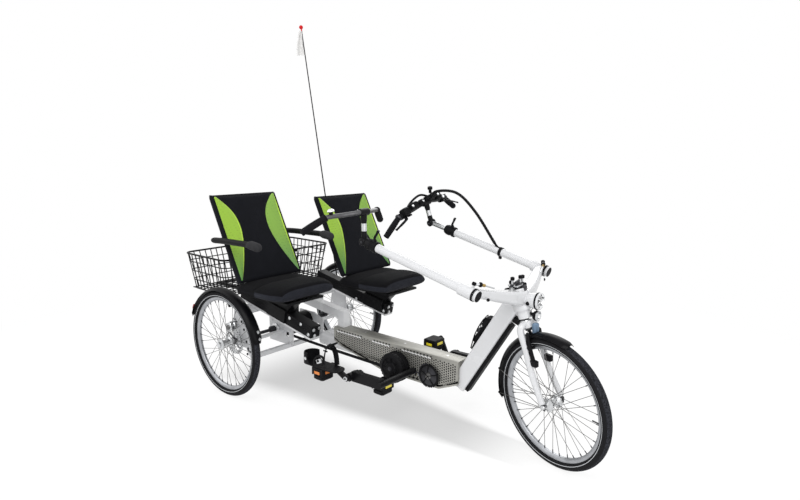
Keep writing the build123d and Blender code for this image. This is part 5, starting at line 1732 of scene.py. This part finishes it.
def lock_holder():
    """Wedge shaped holder with two side rails, a latch block and wire loops."""
    shape = Shape()
    spin = vec(0, 0, 1).rotation_difference(TUBE_DIR).to_matrix()
    base = -0.039
    shape.tube([on_tube(0.335, base - 0.006), on_tube(0.47, base - 0.012), on_tube(0.655, base - 0.014)],
            [0.012, 0.02, 0.022], PLASTIC, 14, 0.5)
    shape.box(on_tube(0.6, base - 0.017), (0.03, 0.044, 0.05), PLASTIC, spin, 0.006)
    shape.box(on_tube(0.51, base - 0.024), (0.016, 0.036, 0.03), DARK_METAL, spin, 0.004)
    shape.box(on_tube(0.44, base - 0.018), (0.02, 0.03, 0.05), PLASTIC, spin, 0.004)
    for way in (-1, 1):
        rail = [on_tube(0.345, base - 0.01, way * 0.018), on_tube(0.48, base - 0.03, way * 0.021),
                on_tube(0.62, base - 0.032, way * 0.021), on_tube(0.655, base - 0.012, way * 0.02)]
        shape.curve(rail, 8, 0.0028, BLACK, 8)
    for share, wide in ((0.57, 0.02), (0.6, 0.016)):
        loop = [on_tube(share - 0.03, base - 0.02, -wide), on_tube(share + 0.01, base - 0.033,
                -wide - 0.001), on_tube(share + 0.05, base - 0.033, 0.0),
                on_tube(share + 0.01, base - 0.033, wide + 0.001), on_tube(share - 0.03, base - 0.02, wide)]
        shape.curve(loop, 8, 0.0022, BLACK, 8)
    for share in (0.39, 0.57):
        shape.box(on_tube(share, base - 0.002), (0.008, 0.046 if share > 0.5 else 0.034, 0.016), PLASTIC,
                spin, 0.002)
        shape.bolt(on_tube(share, base - 0.012), -TUBE_FRONT, 0.004, 0.003)
    return shape.done("lock_holder", "frame", "black_plastic")


lock_holder()


# rails of the seats and small fittings
RAIL_UP = vec(-RAIL_DIR.z, 0, RAIL_DIR.x)
RAIL_SPIN = vec(1, 0, 0).rotation_difference(RAIL_DIR).to_matrix()
TRACK_HALF_WIDTH = 0.03


def on_rail(side, reach, lift, off=0.0):
    """Point along a rail, above its middle line and off to the side."""
    return at(-0.062, side * SEAT_Y, 0.518) + RAIL_DIR * reach + RAIL_UP * lift + vec(0, off, 0)


def small_fittings():
    """Bolts of the tracks and rear frame, end plates, and the box behind the fork."""
    shape = Shape()
    for side in (-1, 1):
        for out in (-1, 1):
            face = out * TRACK_HALF_WIDTH
            for reach, lift in ((0.585, 0.02), (0.43, 0.05), (0.52, 0.052), (0.36, 0.012)):
                shape.bolt(on_rail(side, reach, lift, face), (0, out, 0), 0.0075, 0.005, SILVER)
            for lift in (0.036, 0.052):
                shape.box(on_rail(side, 0.3, lift, face), (0.58, 0.0016, 0.004), GUARD, RAIL_SPIN, 0.0005)
        shape.box(on_rail(side, 0.605, 0.037), (0.006, 0.058, 0.06), PLASTIC, RAIL_SPIN, 0.003)
        for off, lift in ((-0.018, 0.052), (0.02, 0.055), (-0.008, 0.018)):
            shape.bolt(on_rail(side, 0.608, lift, off), RAIL_DIR, 0.0075, 0.006, SILVER)
        for x, z in ((-0.03, 0.29), (0.03, 0.29), (0.045, 0.36), (-0.035, 0.36), (0.06, 0.49),
                (-0.008, 0.49)):
            shape.bolt(at(x, side * 0.382, z), (0, -side, 0), 0.006, 0.004)
        for x, z in ((0.031, 0.409), (0.051, 0.366), (-0.02, 0.4), (-0.034, 0.352), (0.074, 0.228),
                (0.082, 0.262), (0.07, 0.3)):
            shape.rod(at(x, side * 0.389, z), at(x, side * 0.3915, z), 0.0075, PLASTIC, 16)
        for x, z in ((-0.04, 0.25), (-0.04, 0.345), (0.05, 0.35), (0.13, 0.25)):
            shape.bolt(at(x, side * 0.124, z), (0, side, 0), 0.006, 0.004)
        shape.lathe(at(0, side * 0.124, TYRE_RADIUS), (0, side, 0), [(0.034, 0), (0.034, 0.006),
                (0.028, 0.012), (0.02, 0.016)], SILVER, 32)
        shape.lathe(at(0, side * 0.136, TYRE_RADIUS), (0, side, 0), [(0.022, 0), (0.022, 0.03),
                (0.014, 0.036)], DARK_METAL, 28)
    shape.box(at(1.546, 0, 0.63), (0.05, 0.03, 0.03), PLASTIC, spun(radians(20)), 0.005)
    return shape.done("small_fittings", "frame")


small_fittings()

# finishes of the nodes that stay
repaint(WHITE, "main_beam", "down_tube", "head_tube", "steering_yoke", "seat_post", "cross_beam",
        "axle_carrier", "seat_rails", "column_tube_right", "column_tube_left")
repaint(BLACK, "gear_housing", "rail_tracks", "basket_carrier", "crank_carrier_right", "crank_carrier_left",
        "seat_base_right", "seat_base_left")
repaint(PLASTIC, "chain_tube", "cable_cover")
for side_name, side in (("right", -1), ("left", 1)):
    front = on_column(side, 0)
    if side_name == "left":
        front = COLUMN_TURNED @ front

    def is_black(centre):
        """True on the seal ring and on the plug beyond it."""
        beyond = (centre - front).dot(COLUMN_DIR)
        return 0.0 <= beyond < 0.0045 or beyond > 0.0135

    repaint_where("column_tube_" + side_name, PLASTIC, is_black)


# floor, light and camera
AMBIENT = 0.5
FLOOR_HALF, FLOOR_TONE, FLOOR_GLOW = 30, 0.8, 0.42
# distances between which the lit floor turns to pure white, and its share of white before
FADE_NEAR, FADE_FAR, FADE_FIRST = 1.2, 3.2, 0.7
# shares of the painted shadow's size between which it fades
PAINTED_SHADOW_FULL, PAINTED_SHADOW_GONE = 0.62, 1.3


def white_world():
    """Soft light all round that the camera sees as white."""
    world = bpy.data.worlds.new("studio")
    bpy.context.scene.world = world
    world.use_nodes = True
    tree = world.node_tree
    tree.nodes.clear()

    def node(kind, *sources):
        """Node whose first inputs come from the given outputs."""
        new = tree.nodes.new(kind)
        for socket, source in zip(new.inputs, sources):
            tree.links.new(source, socket)
        return new

    def either(a, b):
        """Larger of two values."""
        new = node("ShaderNodeMath", a, b)
        new.operation = "MAXIMUM"
        return new.outputs[0]

    ray = node("ShaderNodeLightPath").outputs
    shown = either(either(ray["Is Camera Ray"], ray["Is Transmission Ray"]), ray["Is Glossy Ray"])
    glow, back = node("ShaderNodeBackground"), node("ShaderNodeBackground")
    for light in (glow, back):
        light.inputs["Color"].default_value = (1, 1, 1, 1)
    glow.inputs["Strength"].default_value = AMBIENT
    mix = node("ShaderNodeMixShader", shown, glow.outputs[0], back.outputs[0])
    node("ShaderNodeOutputWorld", mix.outputs[0])


# painted shadow, a soft grey pool under the frame: half width at the axle, how it narrows forward, middle,
# half length and its tone
PAINTED_SHADOW_WIDTH, PAINTED_SHADOW_TAPER, PAINTED_SHADOW_MIDDLE, PAINTED_SHADOW_LENGTH, PAINTED_SHADOW_TONE = 0.3, 0.13, 0.65, 0.85, 0.52


def white_floor():
    """Large white floor that keeps the shadows near the part, carries a painted shadow under the frame, and
    fades to white.
    """
    mesh = bpy.data.meshes.new("floor")
    size = FLOOR_HALF
    mesh.from_pydata([(-size, -size, 0), (size, -size, 0), (size, size, 0), (-size, size, 0)], [],
            [(0, 1, 2, 3)])
    floor = bpy.data.objects.new("floor", mesh)
    bpy.context.scene.collection.objects.link(floor)
    n = Nodes("floor_white")
    n.socket(Base_Color=(FLOOR_TONE, FLOOR_TONE, FLOOR_TONE, 1), Roughness=0.9, Specular_IOR_Level=0.1)
    path = n.add("ShaderNodeLightPath")
    split = n.add("ShaderNodeSeparateXYZ")
    n.link(n.coords, split.inputs["Vector"])
    along = n.math("SUBTRACT", split.outputs["X"], AXLE_X)
    aside = n.math("ABSOLUTE", n.math("SUBTRACT", split.outputs["Y"], MIDDLE_Y), 0.0)
    width = n.math("SUBTRACT", PAINTED_SHADOW_WIDTH, n.math("MULTIPLY", along, PAINTED_SHADOW_TAPER))
    across = n.math("DIVIDE", aside, width)
    ends = n.math("MULTIPLY", n.math("ABSOLUTE", n.math("SUBTRACT", along, PAINTED_SHADOW_MIDDLE), 0.0),
            1 / PAINTED_SHADOW_LENGTH)
    clear = n.add("ShaderNodeMapRange", interpolation_type="SMOOTHSTEP")
    clear.inputs["From Min"].default_value = PAINTED_SHADOW_FULL
    clear.inputs["From Max"].default_value = PAINTED_SHADOW_GONE
    n.link(n.math("MAXIMUM", across, ends), clear.inputs["Value"])
    # painted shadow: the floor's glow, as the camera sees it, is dimmed to a grey pool under the frame
    glow = n.add("ShaderNodeEmission")
    n.link(n.spread(clear.outputs["Result"], PAINTED_SHADOW_TONE, 1.0), glow.inputs["Strength"])
    reach = n.add("ShaderNodeVectorMath", operation="LENGTH")
    n.link(n.coords, reach.inputs[0])
    far = n.add("ShaderNodeMapRange")
    far.inputs["From Min"].default_value = FADE_NEAR
    far.inputs["From Max"].default_value = FADE_FAR
    far.inputs["To Min"].default_value = FADE_FIRST
    n.link(reach.outputs["Value"], far.inputs["Value"])
    lit = n.add("ShaderNodeEmission")
    lit.inputs["Strength"].default_value = FLOOR_GLOW
    bright = n.add("ShaderNodeAddShader")
    n.link(n.shader.outputs[0], bright.inputs[0])
    n.link(lit.outputs[0], bright.inputs[1])
    fade = n.add("ShaderNodeMixShader")
    n.link(far.outputs["Result"], fade.inputs["Fac"])
    n.link(bright.outputs[0], fade.inputs[1])
    n.link(glow.outputs[0], fade.inputs[2])
    seen = n.math("MAXIMUM", path.outputs["Is Camera Ray"], n.math("MAXIMUM",
            path.outputs["Is Glossy Ray"], path.outputs["Is Transmission Ray"]))
    mix = n.add("ShaderNodeMixShader")
    n.link(seen, mix.inputs["Fac"])
    n.link(n.shader.outputs[0], mix.inputs[1])
    n.link(fade.outputs[0], mix.inputs[2])
    n.link(mix.outputs[0], n.tree.nodes["Material Output"].inputs["Surface"])
    mesh.materials.append(n.material)


# name, place, what it points at, size, power
LIGHTS = (
    ("key", (1.6, -3.4, 4.2), (0, 0, 0.5), 3.0, 110),
    ("fill", (-3.2, -2.6, 3.2), (0, 0, 0.5), 3.5, 40),
    ("front", (4.6, -1.6, 1.9), (0.6, 0, 0.6), 3.0, 42),
    ("rear", (-1.5, 3.6, 3.6), (0, 0, 0.5), 3.0, 60),
)


def area_light(name, place, target, size, power):
    """Square lamp turned to its target."""
    light = bpy.data.lights.new(name, "AREA")
    light.size = size
    light.energy = power
    lamp = bpy.data.objects.new(name, light)
    lamp.location = place
    lamp.rotation_euler = (Vector(target) - Vector(place)).to_track_quat("-Z", "Y").to_euler()
    bpy.context.scene.collection.objects.link(lamp)


def camera():
    """Camera of the photograph, solved from the wheels, columns and deck."""
    data = bpy.data.cameras.new("camera")
    data.sensor_width = SENSOR_WIDTH
    data.lens = FOCAL_PIXELS / PHOTO_WIDTH * SENSOR_WIDTH
    data.shift_x = (PHOTO_WIDTH / 2 - CENTRE_U) / PHOTO_WIDTH
    data.shift_y = (CENTRE_V - PHOTO_HEIGHT / 2) / PHOTO_WIDTH
    cam = bpy.data.objects.new("camera", data)
    azimuth, elevation, roll = (radians(a) for a in (CAMERA_AZIMUTH, CAMERA_ELEVATION, CAMERA_ROLL))
    back = vec(sin(azimuth) * cos(elevation), -cos(azimuth) * cos(elevation), sin(elevation))
    right = vec(0, 0, 1).cross(back).normalized()
    up = back.cross(right)
    right, up = right * cos(roll) + up * sin(roll), up * cos(roll) - right * sin(roll)
    cam.matrix_world = Matrix.Translation(at(*CAMERA_PLACE)) @ Matrix((right, up,
            back)).transposed().to_4x4()
    bpy.context.scene.collection.objects.link(cam)
    bpy.context.scene.camera = cam


white_world()
white_floor()
for row in LIGHTS:
    area_light(*row)
camera()
bpy.context.scene.view_settings.view_transform = "Standard"
